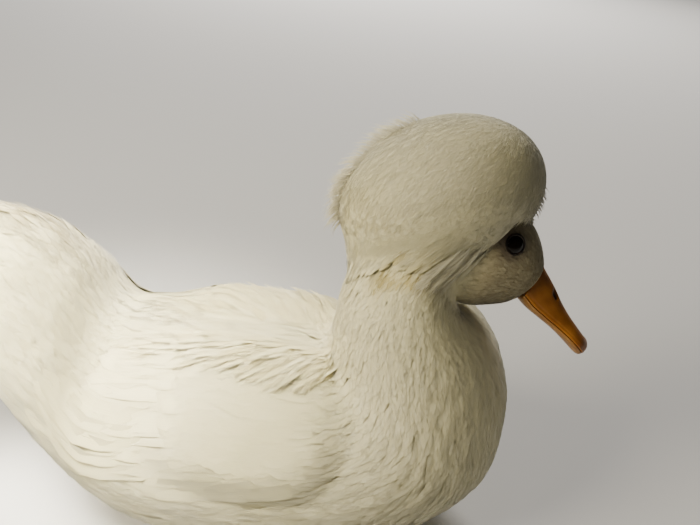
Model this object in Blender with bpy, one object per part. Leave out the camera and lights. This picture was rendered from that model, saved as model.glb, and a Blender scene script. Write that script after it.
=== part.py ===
"""A crested duck sitting at rest, life size, as a still display model.

Metres. +X is forward, +Y the duck's left and +Z up. The floor is z = 0 and the belly rests on it.
The body is one lofted form, parted by thin flat cuts into torso, neck and head. Wings, tail and
crest are feather vanes rooted in a core, cut clear of the body that they grow from.
"""

import math
import random

import bmesh
import bpy
import numpy as np
from mathutils import Euler, Matrix, Vector
from mathutils.bvhtree import BVHTree

GAP = 0.0003  # clearance between touching pieces
CLEAR = 0.0005  # how far a cutter stands outside the piece that it copies
AROUND = 28  # points round a body section
VANE = 0.0011  # thickness of a vane along its middle
STEPS = 3  # rings from one named section to the next
FLAT = math.radians(2.0)  # faces that turn less than this from one to the next are joined

# Where the head sits, and how it is held: turned to the right, nose down, right eye tilted up.
HEAD_CENTRE = (0.124, 0.008, 0.196)
HEAD_TURN = math.radians(-11)
HEAD_NOD = math.radians(22)
HEAD_TILT = math.radians(-25)
BILL_DROOP = math.radians(17)

# Body sections in side view: name, top of the section, bottom of it, half its width.
# The belly runs a little under the floor and is flattened on it.
TORSO_SECTIONS = (
    ("tail_end", (-0.177, 0.196), (-0.170, 0.154), 0.020),
    ("tail_root", (-0.154, 0.196), (-0.152, 0.126), 0.036),
    ("mound", (-0.124, 0.187), (-0.134, 0.084), 0.051),
    ("rump", (-0.102, 0.164), (-0.112, 0.046), 0.060),
    ("vent", (-0.084, 0.135), (-0.085, 0.014), 0.065),
    ("thigh", (-0.050, 0.135), (-0.050, -0.004), 0.073),
    ("loin", (-0.008, 0.135), (0.002, -0.007), 0.077),
    ("shoulder", (0.024, 0.133), (0.052, -0.003), 0.076),
    ("breast_low", (0.034, 0.132), (0.110, 0.014), 0.072),
    ("breast", (0.039, 0.133), (0.150, 0.055), 0.064),
    ("neck_root", (0.042, 0.137), (0.152, 0.102), 0.054),
)
# Neck sections have one more value, the share of the head's own turn and tilt that they take.
NECK_SECTIONS = (
    ("neck_low", (0.044, 0.151), (0.142, 0.134), 0.046, 0.00),
    ("neck_mid", (0.047, 0.170), (0.131, 0.151), 0.041, 0.12),
    ("neck_high", (0.058, 0.194), (0.117, 0.161), 0.036, 0.35),
    ("neck_top", (0.074, 0.212), (0.112, 0.162), 0.031, 0.65),
)
# Head sections, measured from the centre of the head along the head's own forward and up.
HEAD_SECTIONS = (
    ("nape", (-0.0360, 0.0140), (-0.0050, -0.0325), 0.0280),
    ("occiput", (-0.0260, 0.0235), (0.0000, -0.0316), 0.0275),
    ("ear", (-0.0080, 0.0275), (0.0050, -0.0298), 0.0262),
    ("eye", (0.0085, 0.0245), (0.0110, -0.0262), 0.0220),
    ("lore", (0.0195, 0.0175), (0.0190, -0.0205), 0.0170),
    ("mask", (0.0275, 0.0085), (0.0240, -0.0140), 0.0122),
)
NECK_START = len(TORSO_SECTIONS) - 1
HEAD_START = len(TORSO_SECTIONS) + len(NECK_SECTIONS)
BODY_END = HEAD_START + len(HEAD_SECTIONS) - 1

EYE_CENTRE = (0.0020, 0.0208, 0.0095)
EYE_RADIUS = 0.0052
EYE_DEPTH = 0.0034
LID_RADIUS = 0.0057
LID_THICKNESS = 0.0010

BILL_LENGTH = 0.050
NOSTRIL_AT = 0.0185
NOSTRIL_SIZE = (0.0031, 0.0020, 0.0013)

# The crest is a dome behind the crown, given in the head's frame with its long axis leaning back.
# Its vanes spring from a core and part from a point above the crown. Each tier is given by how far
# its tips lie from that point, in degrees round the dome.
CREST_CENTRE = (-0.0400, 0.000, 0.0127)
CREST_SIZE = (0.055, 0.043, 0.040)
CREST_LEAN = math.radians(47)
CREST_CORE = 0.55
CREST_PARTING = (0.15, 0.0, 0.99)
CREST_TIERS = ((42, 8), (64, 10), (86, 12), (108, 12), (130, 9))
CREST_OVERLAP = 1.18
CREST_QUILL = 0.0024
# Along each vane: degrees back towards the parting, and how far out of the dome it lies.
CREST_RISE = ((42, None), (33, 0.875), (18, 0.948), (5, 0.990), (0, 1.0))
CREST_TOP = ((18, None), (21.5, 0.940), (14, 0.980), (5, 0.998), (0, 1.0))
CREST_TOP_TIER = (24, 5)
# How far a drooping vane lies off the head and neck, ring by ring.
CREST_DRAPE = (0.0, 0.0020, 0.0028, 0.0034, 0.0036)
CREST_DEEPEST = 0.016
CREST_EYE_ROOM = 0.0190
# Long feathers hang from under the dome down the nape and behind the cheeks: the angle round the
# body, and the station along the neck that the tip reaches.
NAPE_FEATHERS = ((-104, 3.45), (-72, 2.85), (-36, 2.40), (0, 2.30), (36, 2.40), (72, 2.85), (104, 3.45))
NAPE_WIDTH = 0.0210

# Wing feathers lie in a map of the duck's side: how far forward, then how far round from the back's
# midline. Each group has its count, first and last root, first and last tip, width and heights over
# the side at root, middle and tip.
WING_PAD = ((0.004, 0.053), (0.056, 0.049), 0.0046)
WING_GROUPS = (
    ("primary", 5, (-0.036, 0.062), (-0.040, 0.088), (-0.098, 0.052), (-0.103, 0.090), 0.0120, (1.2, 1.9, 1.7)),
    ("secondary", 5, (-0.010, 0.053), (0.028, 0.086), (-0.084, 0.060), (-0.052, 0.100), 0.0140, (1.2, 3.4, 3.1)),
    ("greater_covert", 5, (0.000, 0.045), (0.042, 0.080), (-0.046, 0.053), (-0.006, 0.096), 0.0140, (1.4, 4.9, 4.6)),
    ("median_covert", 4, (0.018, 0.042), (0.052, 0.072), (-0.018, 0.050), (0.018, 0.088), 0.0155, (1.6, 6.4, 6.1)),
    ("lesser_covert", 4, (0.040, 0.034), (0.058, 0.062), (0.008, 0.046), (0.036, 0.080), 0.0155, (1.8, 7.8, 7.5)),
    ("tertial", 3, (-0.004, 0.028), (0.004, 0.046), (-0.080, 0.020), (-0.088, 0.048), 0.0165, (1.4, 5.9, 5.6)),
    ("lower_scapular", 3, (0.044, 0.027), (-0.002, 0.023), (0.000, 0.038), (-0.048, 0.033), 0.0165, (1.6, 7.9, 7.2)),
    ("upper_scapular", 3, (0.044, 0.013), (-0.002, 0.012), (-0.002, 0.023), (-0.052, 0.018), 0.0140, (1.6, 8.6, 7.6)),
)

# The tail is a fan held up behind the rump.
TAIL_ROOT = (-0.176, 0.0, 0.183)
TAIL_RISE = math.radians(20)
TAIL_CORE = (0.026, 0.021, 0.0125)
TAIL_CORE_AHEAD = 0.010
TAIL_FEATHERS = 12
TAIL_LENGTH = 0.074
TAIL_SPREAD = math.radians(5.2)
TAIL_WIDTH = 0.0150
TAIL_COVERTS = 5

SHANK_TOP = (-0.014, 0.050, 0.046)
ANKLE = (-0.052, 0.060, 0.0075)
TOE_ROOT = (0.002, 0.064, 0.0058)
TOES = (("inner", -17.0, 0.043), ("middle", 7.0, 0.054), ("outer", 30.0, 0.047))
TOE_RADIUS = 0.0034
HIND_TOE = 0.013
WEB_THICKNESS = 0.0016
CLAW_LENGTH = 0.0075

SIDES = (("left", 1.0), ("right", -1.0))


def clear_scene():
    for obj in list(bpy.data.objects):
        bpy.data.objects.remove(obj)


def collection(name, shown=True):
    made = bpy.data.collections.new(name)
    made.hide_render = not shown
    bpy.context.scene.collection.children.link(made)
    return made


def material(name, colour, roughness):
    made = bpy.data.materials.new(name)
    made.use_nodes = True
    shader = made.node_tree.nodes["Principled BSDF"]
    shader.inputs["Base Color"].default_value = (*colour, 1.0)
    shader.inputs["Roughness"].default_value = roughness
    shader.inputs["Metallic"].default_value = 0.0
    return made


def smooth_step(t):
    t = np.clip(t, 0.0, 1.0)
    return t * t * (3.0 - 2.0 * t)


def profile(x, stations, values):
    """A smooth curve through a few stations of a lengthwise outline."""
    stations, values = np.asarray(stations, float), np.asarray(values, float)
    slopes = np.gradient(values, stations)
    k = np.clip(np.searchsorted(stations, x, side="right") - 1, 0, len(stations) - 2)
    span = stations[k + 1] - stations[k]
    f = np.clip((x - stations[k]) / span, 0.0, 1.0)
    return hermite(values[k], values[k + 1], slopes[k] * span, slopes[k + 1] * span, f)


def hermite(start, end, start_slope, end_slope, f):
    f2, f3 = f * f, f * f * f
    blend = (2 * f3 - 3 * f2 + 1) * start + (3 * f2 - 2 * f3) * end
    return blend + (f3 - 2 * f2 + f) * start_slope + (f3 - f2) * end_slope


def head_matrix():
    turn = Euler((HEAD_TILT, HEAD_NOD, HEAD_TURN), "XYZ").to_matrix().to_4x4()
    return Matrix.Translation(HEAD_CENTRE) @ turn


HEAD = head_matrix()


def section_frames():
    """Centre, dorsal direction, left direction, reach up, reach down and half width of each section."""
    frames = []
    level, head_left = Vector((0, 1, 0)), HEAD.to_3x3() @ Vector((0, 1, 0))
    for _, top, bottom, half_width in TORSO_SECTIONS:
        frames.append((Vector((top[0], 0, top[1])), Vector((bottom[0], 0, bottom[1])), level, half_width))
    for _, top, bottom, half_width, share in NECK_SECTIONS:
        aside = HEAD_CENTRE[1] * share
        high, low = Vector((top[0], aside, top[1])), Vector((bottom[0], aside, bottom[1]))
        frames.append((high, low, level.lerp(head_left, share).normalized(), half_width))
    for _, top, bottom, half_width in HEAD_SECTIONS:
        high, low = Vector((top[0], 0, top[1])), Vector((bottom[0], 0, bottom[1]))
        frames.append((HEAD @ high, HEAD @ low, head_left, half_width))
    return frames


FRAMES = section_frames()
TOPS = np.array([f[0] for f in FRAMES])
BOTTOMS = np.array([f[1] for f in FRAMES])
LEFTS = np.array([f[2] for f in FRAMES])
WIDTHS = np.array([f[3] for f in FRAMES])
MIDDLES = (TOPS + BOTTOMS) / 2
RISES = (TOPS - BOTTOMS) / 2
ALONG = np.concatenate([[0.0], np.cumsum(np.linalg.norm(np.diff(MIDDLES, axis=0), axis=1))])


def body_point(u, v):
    """Points of the body at station u and angle v. Angle 0 is the back's midline and 90 degrees the left side."""
    u, v = np.broadcast_arrays(np.asarray(u, float), np.asarray(v, float))
    shape, u, v = u.shape, u.ravel(), v.ravel()
    across, up = np.sin(v)[None, :, None], np.cos(v)[None, :, None]
    keys = MIDDLES[:, None] + LEFTS[:, None] * (WIDTHS[:, None, None] * across) + RISES[:, None] * up
    slopes = np.empty_like(keys)
    slopes[1:-1] = (keys[2:] - keys[:-2]) / (ALONG[2:] - ALONG[:-2])[:, None, None]
    slopes[0] = (keys[1] - keys[0]) / (ALONG[1] - ALONG[0])
    slopes[-1] = (keys[-1] - keys[-2]) / (ALONG[-1] - ALONG[-2])
    k = np.clip(np.floor(u).astype(int), 0, len(MIDDLES) - 2)
    m = np.arange(len(u))
    span = (ALONG[k + 1] - ALONG[k])[:, None]
    f = (u - k)[:, None]
    found = hermite(keys[k, m], keys[k + 1, m], slopes[k, m] * span, slopes[k + 1, m] * span, f)
    found[:, 2] = np.maximum(found[:, 2], 0.0)
    return found.reshape(*shape, 3)


def body_normal(u, v):
    step = 0.02
    along = body_point(np.asarray(u) + step, v) - body_point(np.asarray(u) - step, v)
    round_it = body_point(u, np.asarray(v) + step) - body_point(u, np.asarray(v) - step)
    normal = np.cross(along, round_it)
    return normal / np.maximum(np.linalg.norm(normal, axis=-1, keepdims=True), 1e-12)


def mesh_object(name, points, faces, finish, holder):
    mesh = bpy.data.meshes.new(name)
    mesh.from_pydata([tuple(p) for p in points], [], faces)
    mesh.validate()
    edit = bmesh.new()
    edit.from_mesh(mesh)
    face_outward(edit)
    edit.to_mesh(mesh)
    edit.free()
    made = bpy.data.objects.new(name, mesh)
    made.data.materials.append(finish)
    holder.objects.link(made)
    return made


def face_outward(edit):
    bmesh.ops.recalc_face_normals(edit, faces=edit.faces)
    if edit.calc_volume(signed=True) < 0:
        bmesh.ops.reverse_faces(edit, faces=edit.faces)


def loft(name, rings, finish, holder):
    """A closed solid through rings of equal point counts, with a flat cap on each end."""
    rings = np.asarray(rings, float)
    count, around = rings.shape[:2]
    faces = [tuple(range(around)), tuple(range((count - 1) * around, count * around))]
    for i in range(count - 1):
        for j in range(around):
            k = (j + 1) % around
            faces.append((i * around + j, i * around + k, (i + 1) * around + k, (i + 1) * around + j))
    return mesh_object(name, rings.reshape(-1, 3), faces, finish, holder)


def vane(name, path, sideways, widths, thickness, cup, tilt, finish, holder):
    """A feather vane: lens-shaped sections along a path, closed to a point at its tip.

    Both faces are split into triangles alike. cup drops the edges, and tilt lifts the left one."""
    path, sideways = np.asarray(path, float), np.asarray(sideways, float)
    forward = np.gradient(path, axis=0)
    sideways = sideways - forward * (sideways * forward).sum(1, keepdims=True) / (forward * forward).sum(1, keepdims=True)
    sideways /= np.linalg.norm(sideways, axis=1, keepdims=True)
    out = np.cross(forward, sideways)
    out /= np.linalg.norm(out, axis=1, keepdims=True)
    points, faces = [], []
    last = len(path) - 1
    for i in range(last):
        half = widths[i] / 2
        deep = thickness / 2 * (1.0 if i < last - 1 else 0.7)
        drop, lift = out[i] * cup * half, out[i] * tilt * half
        points.append(path[i] + sideways[i] * half - drop + lift)
        points.append(path[i] + out[i] * deep)
        points.append(path[i] - sideways[i] * half - drop - lift)
        points.append(path[i] - out[i] * deep)
    points.append(path[last])
    for i in range(last - 1):
        a, b = 4 * i, 4 * (i + 1)
        for edge, middle in ((0, 1), (2, 1), (2, 3), (0, 3)):
            faces.append((a + edge, a + middle, b + middle))
            faces.append((a + edge, b + middle, b + edge))
    a = 4 * (last - 1)
    for j in range(4):
        faces.append((a + j, a + (j + 1) % 4, 4 * last))
    faces.append((0, 1, 2))
    faces.append((0, 2, 3))
    return mesh_object(name, points, faces, finish, holder)


# Rings of a vane along its length, and how wide each is: narrow at the root and round at the tip.
VANE_SHARES = np.array((0.0, 0.26, 0.58, 0.86, 1.0))
VANE_WIDTHS = np.array((0.26, 0.86, 1.00, 0.74))


def apply_modifiers(obj):
    graph = bpy.context.evaluated_depsgraph_get()
    made = bpy.data.meshes.new_from_object(obj.evaluated_get(graph))
    obj.modifiers.clear()
    obj.data = made


def boolean(obj, operation, operand, solver="EXACT"):
    step = obj.modifiers.new("shape", "BOOLEAN")
    step.operation = operation
    step.solver = solver
    if isinstance(operand, bpy.types.Collection):
        step.operand_type = "COLLECTION"
        step.collection = operand
    else:
        step.object = operand
    bpy.context.view_layer.update()
    apply_modifiers(obj)


def fuse(base, pieces, solver="EXACT"):
    """Joins the pieces to their base in one union, and removes them."""
    holder = collection(base.name + "_pieces", shown=False)
    for piece in pieces:
        for old in piece.users_collection:
            old.objects.unlink(piece)
        holder.objects.link(piece)
    boolean(base, "UNION", holder, solver)
    for piece in list(holder.objects):
        bpy.data.objects.remove(piece)
    bpy.data.collections.remove(holder)


def keep_largest(obj):
    """Keeps the largest closed surface of a mesh, so that the node stays one body."""
    edit = bmesh.new()
    edit.from_mesh(obj.data)
    left, shells = set(edit.faces), []
    while left:
        stack, shell = [left.pop()], []
        while stack:
            face = stack.pop()
            shell.append(face)
            for edge in face.edges:
                for other in edge.link_faces:
                    if other in left:
                        left.remove(other)
                        stack.append(other)
        shells.append(shell)
    shells.sort(key=lambda faces: sum(f.calc_area() for f in faces))
    loose = [f for shell in shells[:-1] for f in shell]
    bmesh.ops.delete(edit, geom=loose, context="FACES")
    bmesh.ops.dissolve_limit(edit, angle_limit=FLAT, verts=edit.verts, edges=edit.edges)
    bmesh.ops.triangulate(edit, faces=edit.faces)
    edit.to_mesh(obj.data)
    edit.free()


def grown(obj, holder, distance=CLEAR):
    """A cutter: a copy of a piece that stands a little outside it."""
    copy = bpy.data.objects.new(obj.name + "_clearance", obj.data.copy())
    copy.matrix_world = obj.matrix_world
    edit = bmesh.new()
    edit.from_mesh(copy.data)
    edit.normal_update()
    moves = [(v, v.co + v.normal * distance * min(v.calc_shell_factor(), 1.6)) for v in edit.verts]
    for vertex, place in moves:
        vertex.co = place
    edit.to_mesh(copy.data)
    edit.free()
    copy.display_type = "WIRE"
    copy.hide_render = True
    holder.objects.link(copy)
    return copy


def cut_clear(obj, cutters):
    """Cuts a piece clear of its neighbours. The exact solver empties the crest here."""
    for cutter in cutters:
        boolean(obj, "DIFFERENCE", cutter, "MANIFOLD")
    keep_largest(obj)


def body_rings(first, last, start_gap=0.0, end_gap=0.0):
    """Rings of the body from one named section to another, with the end faces drawn in by a gap."""
    stations = np.linspace(first, last, (last - first) * STEPS + 1)
    angles = np.arange(AROUND) * 2 * math.pi / AROUND
    rings = body_point(stations[:, None], angles[None, :])
    for at, key, gap in ((0, first, start_gap), (-1, last, -end_gap)):
        normal = np.cross(LEFTS[key], RISES[key])
        rings[at] += normal / np.linalg.norm(normal) * gap
    return rings


def make_torso(finish, holder):
    return loft("torso", body_rings(0, NECK_START), finish, holder)


def make_neck(finish, holder):
    return loft("neck", body_rings(NECK_START, HEAD_START, GAP, GAP), finish, holder)


def make_head(finish, holder):
    """The head with a fleshy lid round each eye. The eyes' sockets are cut when the eyes are made."""
    head = loft("head", body_rings(HEAD_START, BODY_END), finish, holder)
    lids = []
    for side, sign in SIDES:
        bpy.ops.mesh.primitive_torus_add(
            major_segments=18,
            minor_segments=5,
            major_radius=LID_RADIUS,
            minor_radius=LID_THICKNESS,
        )
        lid = bpy.context.object
        lid.name = "lid_" + side
        lid.matrix_world = eye_matrix(sign) @ Matrix.Translation((0, 0, 0.0014))
        lids.append(lid)
    fuse(head, lids)
    return head


def eye_matrix(sign):
    """The place of an eye, with its own +Z looking outward and a little forward and up."""
    x, y, z = EYE_CENTRE
    outward = Vector((0.24, sign, 0.20)).normalized()
    return HEAD @ Matrix.Translation((x, sign * y, z)) @ outward.to_track_quat("Z", "Y").to_matrix().to_4x4()


def make_eye(side, sign, head, finish, holder, cutters):
    for name, margin in (("eye_" + side, 0.0), ("eye_socket_" + side, GAP)):
        mesh = bpy.data.meshes.new(name)
        edit = bmesh.new()
        bmesh.ops.create_uvsphere(edit, u_segments=14, v_segments=8, radius=1.0)
        size = (EYE_RADIUS + margin, EYE_RADIUS + margin, EYE_DEPTH + margin)
        bmesh.ops.scale(edit, vec=size, verts=edit.verts)
        edit.to_mesh(mesh)
        edit.free()
        made = bpy.data.objects.new(name, mesh)
        made.matrix_world = eye_matrix(sign)
        if margin:
            cutters.objects.link(made)
            made.hide_render = True
            made.display_type = "WIRE"
            cut_clear(head, [made])
        else:
            mesh.materials.append(finish)
            mesh.shade_smooth()
            holder.objects.link(made)


def make_lid_room(side, sign, finish, cutters):
    """A cutter that keeps feathers off an eye and its lid."""
    wide = LID_RADIUS + LID_THICKNESS + CLEAR * 2
    room = bmesh_ellipsoid("lid_room_" + side, (wide, wide, wide * 0.6), 14, 8, finish, cutters)
    room.matrix_world = eye_matrix(sign)
    room.hide_render = True
    room.display_type = "WIRE"
    return room


def bill_matrix():
    """The bill's frame: its origin in the middle of the face's flat front, its X along the bill."""
    _, top, bottom, _ = HEAD_SECTIONS[-1]
    middle = Vector(((top[0] + bottom[0]) / 2, 0, (top[1] + bottom[1]) / 2))
    return HEAD @ Matrix.Translation(middle) @ Matrix.Rotation(BILL_DROOP, 4, "Y")


def bill_base_x(z):
    """How far the face's flat front stands along the bill at height z, in the bill's frame."""
    _, top, bottom, _ = HEAD_SECTIONS[-1]
    lean = math.atan2(top[0] - bottom[0], top[1] - bottom[1])
    return z * math.tan(lean - BILL_DROOP)


def bill_shape(x):
    """Culmen height, mouth line height and half width of the bill at x along it."""
    stations = [BILL_LENGTH * share for share in (0.0, 0.19, 0.37, 0.56, 0.74, 0.89, 0.96, 1.0)]
    culmen = (0.0108, 0.0085, 0.0058, 0.0036, 0.0024, 0.0014, 0.0002, -0.0014)
    mouth = (-0.0052, -0.0058, -0.0054, -0.0048, -0.0046, -0.0048, -0.0050, -0.0050)
    width = (0.0112, 0.0104, 0.0098, 0.0103, 0.0114, 0.0104, 0.0074, 0.0036)
    return profile(x, stations, culmen), profile(x, stations, mouth), profile(x, stations, width)


def bill_rings(count, inset, base_gap, section):
    """Rings along the bill. section gives a ring's (y, z) points from culmen, mouth and half width."""
    share = np.linspace(0, 1, count)
    stations = (BILL_LENGTH - inset) * np.sin(share * math.pi / 2) ** 0.9
    rings = []
    for x in stations:
        y, z = section(*bill_shape(x))
        lean = (1 - smooth_step(x / 0.020)) * (bill_base_x(z) + base_gap) if x else bill_base_x(z) + base_gap
        rings.append(np.stack([x + lean, y, z], axis=1))
    return rings


def bill_half(angles, half_width, edge, up, down):
    across, high = np.sin(angles), np.cos(angles)
    reach = np.where(high > 0, up, down)
    return half_width * np.sign(across) * np.abs(across) ** 0.8, edge + reach * high


def make_bill(upper_finish, lower_finish, holder, cutters):
    angles = np.arange(18) * 2 * math.pi / 18
    frame = bill_matrix()

    def upper(culmen, mouth, half_width):
        return bill_half(angles, half_width, mouth, culmen - mouth, 0.0005)

    def lower(culmen, mouth, half_width):
        depth = 0.0012 + 0.28 * (culmen - mouth)
        return bill_half(angles, half_width * 0.88, mouth - 0.0012, 0.0003, depth)

    bill_upper = loft("bill_upper", bill_rings(12, 0.0, GAP, upper), upper_finish, holder)
    bill_lower = loft("bill_lower", bill_rings(9, 0.0022, GAP, lower), lower_finish, holder)
    nail = bmesh_ellipsoid("nail", (0.0035, 0.0034, 0.0018), 12, 8, upper_finish, holder)
    nail.matrix_world = Matrix.Translation((BILL_LENGTH - 0.0032, 0, -0.0012)) @ Matrix.Rotation(0.5, 4, "Y")
    fuse(bill_upper, [nail])
    for side, sign in SIDES:
        nostril = bmesh_ellipsoid("nostril_" + side, NOSTRIL_SIZE, 12, 8, upper_finish, cutters)
        culmen, _, half_width = bill_shape(NOSTRIL_AT)
        place = Matrix.Translation((NOSTRIL_AT, sign * half_width * 0.66, culmen - 0.0038))
        nostril.matrix_world = place @ Matrix.Rotation(0.28, 4, "Y")
        nostril.hide_render = True
        nostril.display_type = "WIRE"
        boolean(bill_upper, "DIFFERENCE", nostril)
    keep_largest(bill_upper)
    for piece in (bill_upper, bill_lower):
        piece.matrix_world = frame
        piece.data.shade_smooth()


def bmesh_ellipsoid(name, size, segments, rings, finish, holder):
    mesh = bpy.data.meshes.new(name)
    edit = bmesh.new()
    bmesh.ops.create_uvsphere(edit, u_segments=segments, v_segments=rings, radius=1.0)
    bmesh.ops.scale(edit, vec=size, verts=edit.verts)
    edit.to_mesh(mesh)
    edit.free()
    mesh.materials.append(finish)
    made = bpy.data.objects.new(name, mesh)
    holder.objects.link(made)
    return made


def flank_chart():
    """A map of the left side: for each place along the duck, the station, angle and distance round it."""
    stations = np.linspace(0.0, NECK_START - 0.4, 150)
    angles = np.radians(np.linspace(0.0, 180.0, 73))
    grid = body_point(stations[:, None], angles[None, :])
    lengthwise = np.linspace(-0.150, 0.066, 55)
    columns = [np.interp(lengthwise, grid[:, j, 0], stations) for j in range(len(angles))]
    found = np.stack(columns, axis=1)
    points = body_point(found, angles[None, :])
    steps = np.linalg.norm(np.diff(points, axis=1), axis=2)
    round_it = np.concatenate([np.zeros((len(lengthwise), 1)), np.cumsum(steps, axis=1)], axis=1)
    return lengthwise, angles, found, round_it


CHART = flank_chart()


def on_flank(x, drop, side, height):
    """A point over the duck's side, and the normal there, from the map's two distances."""
    lengthwise, angles, found, round_it = CHART
    row = int(np.clip(np.searchsorted(lengthwise, x) - 1, 0, len(lengthwise) - 2))
    share = (x - lengthwise[row]) / (lengthwise[row + 1] - lengthwise[row])
    pair = []
    for i in (row, row + 1):
        angle = np.interp(drop, round_it[i], angles)
        pair.append((np.interp(angle, angles, found[i]), angle))
    station = pair[0][0] * (1 - share) + pair[1][0] * share
    angle = (pair[0][1] * (1 - share) + pair[1][1] * share) * side
    normal = body_normal(station, angle)
    return body_point(station, angle) + normal * height, normal


def wing_pad(name, side, finish, holder):
    """The folded arm under the feathers: a low cushion with a squarish outline on the duck's side."""
    (x, drop), (reach, spread), rise = WING_PAD
    mesh = bpy.data.meshes.new(name)
    edit = bmesh.new()
    bmesh.ops.create_uvsphere(edit, u_segments=14, v_segments=6, radius=1.0)
    for vertex in edit.verts:
        a, b, h = vertex.co
        around = math.atan2(b, a)
        square = (abs(math.cos(around)) ** 3.2 + abs(math.sin(around)) ** 3.2) ** (-1 / 3.2)
        height = rise * h if h > 0 else 0.0025 * h
        place, _ = on_flank(x + reach * a * square, drop + spread * b * square, side, height)
        vertex.co = Vector(place.tolist())
    face_outward(edit)
    edit.to_mesh(mesh)
    edit.free()
    mesh.materials.append(finish)
    made = bpy.data.objects.new(name, mesh)
    holder.objects.link(made)
    return made


def flank_vane(name, root, tip, width, heights, side, finish, holder):
    """One wing feather laid over the side, its lower edge lifted over the next one down."""
    path, sideways = [], []
    lie = np.interp(VANE_SHARES, (0.0, 0.20, 0.60, 1.0), (heights[0], heights[1], heights[1], heights[2]))
    ahead = Vector((tip[0] - root[0], tip[1] - root[1])).normalized()
    for share, height in zip(VANE_SHARES, lie):
        bow = 0.03 * math.sin(math.pi * share) * (tip[0] - root[0])
        x = root[0] + (tip[0] - root[0]) * share + bow * ahead.y
        drop = root[1] + (tip[1] - root[1]) * share - bow * ahead.x
        place, normal = on_flank(x, drop, side, height * 0.001)
        path.append(place)
        sideways.append(normal)
    path = np.array(path)
    sideways = np.cross(np.array(sideways), np.gradient(path, axis=0))
    return vane(name, path, sideways, VANE_WIDTHS * width, VANE, 0.05, -0.09 * side, finish, holder)


def make_wing(side_name, side, finish, holder, cutters):
    """A folded wing: a pad on the duck's side with its feathers in tiers, each tier over the one below."""
    wing = wing_pad("wing_" + side_name, side, finish, holder)
    draw = random.Random(11 + int(side))
    feathers = []
    for kind, count, first_root, last_root, first_tip, last_tip, width, heights in WING_GROUPS:
        for i in range(count):
            share = i / (count - 1)
            root = [a + (b - a) * share for a, b in zip(first_root, last_root)]
            tip = [a + (b - a) * share for a, b in zip(first_tip, last_tip)]
            if kind == "primary":
                tip[0] -= 0.010 * math.sin(math.pi * min(share + 0.1, 1.0))
            tip[0] += draw.uniform(-0.0015, 0.0015)
            tip[1] += draw.uniform(-0.0005, 0.0005)
            wide = width * draw.uniform(0.96, 1.04)
            name = kind + "_" + side_name + "_" + str(i)
            feathers.append(flank_vane(name, root, tip, wide, heights, side, finish, holder))
    fuse(wing, feathers, "MANIFOLD")
    cut_clear(wing, cutters)


def tail_frame():
    return Matrix.Translation(TAIL_ROOT) @ Matrix.Rotation(math.pi, 4, "Z") @ Matrix.Rotation(-TAIL_RISE, 4, "Y")


def tail_core_top(ahead, aside):
    inside = 1 - ((ahead - TAIL_CORE_AHEAD) / TAIL_CORE[0]) ** 2 - (aside / TAIL_CORE[1]) ** 2
    return TAIL_CORE[2] * math.sqrt(max(inside, 0.0))


def tail_vane(name, place, heading, aside, start, end, width, height, finish, holder):
    """One tail feather in the tail's frame. height gives its height from how far back and aside it is."""
    path = []
    for share in VANE_SHARES:
        reach = start + (end - start) * share
        x, y = reach * math.cos(heading), aside + reach * math.sin(heading)
        path.append(place @ Vector((x, y, height(x, y))))
    across = place.to_3x3() @ Vector((-math.sin(heading), math.cos(heading), 0))
    sideways = np.tile(np.array(across), (len(path), 1))
    return vane(name, path, sideways, VANE_WIDTHS * width, VANE, 0.06, 0.0, finish, holder)


def make_tail(finish, holder, cutters):
    """The raised tail: a core with twelve quills in a fan, the middle pair on top, and coverts over and under."""
    place = tail_frame()
    tail = bmesh_ellipsoid("tail", TAIL_CORE, 16, 8, finish, holder)
    tail.data.transform(place @ Matrix.Translation((TAIL_CORE_AHEAD, 0, 0)))
    feathers = []
    for i in range(TAIL_FEATHERS):
        k = i - (TAIL_FEATHERS - 1) / 2
        level = 0.0026 - abs(k) * 0.0011 - (0.0005 if k < 0 else 0.0)
        length = TAIL_LENGTH - 0.0006 * k * k

        def quill_height(x, y, level=level):
            return level + 0.06 * x - 2.2 * y * y

        feathers.append(
            tail_vane("quill_" + str(i), place, k * TAIL_SPREAD, k * 0.0021, 0.004, length, TAIL_WIDTH, quill_height, finish, holder)
        )
    for over in (1, -1):
        for i in range(TAIL_COVERTS):
            k = i - (TAIL_COVERTS - 1) / 2
            clear = 0.0052 if over > 0 else 0.0062
            layer = 0.0013 * (i % 2)

            def covert_height(x, y, over=over, clear=clear, layer=layer):
                level = max(tail_core_top(x, y) + 0.0009, clear - 1.5 * y * y) + layer
                return over * level + 0.06 * x if over > 0 else -level - 2.2 * y * y + 0.06 * x

            name = ("upper" if over > 0 else "under") + "_covert_" + str(i)
            end = 0.049 - 0.0008 * k * k
            feathers.append(
                tail_vane(name, place, k * TAIL_SPREAD * 2.0, k * 0.0060, -0.002, end, 0.0165, covert_height, finish, holder)
            )
    fuse(tail, feathers, "MANIFOLD")
    cut_clear(tail, cutters)


def crest_frame():
    return HEAD @ Matrix.Translation(CREST_CENTRE) @ Matrix.Rotation(-CREST_LEAN, 4, "Y")


def dome_direction(polar, around):
    """A direction on the unit dome, in the crest's frame, at an angle from the parting and round it."""
    parting = Matrix.Rotation(CREST_LEAN, 3, "Y") @ Vector(CREST_PARTING).normalized()
    ahead = (Vector((0, 1, 0)).cross(parting)).normalized()
    left = parting.cross(ahead)
    flat = ahead * math.cos(around) + left * math.sin(around)
    return parting * math.cos(polar) + flat * math.sin(polar), left * math.cos(around) - ahead * math.sin(around)


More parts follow.
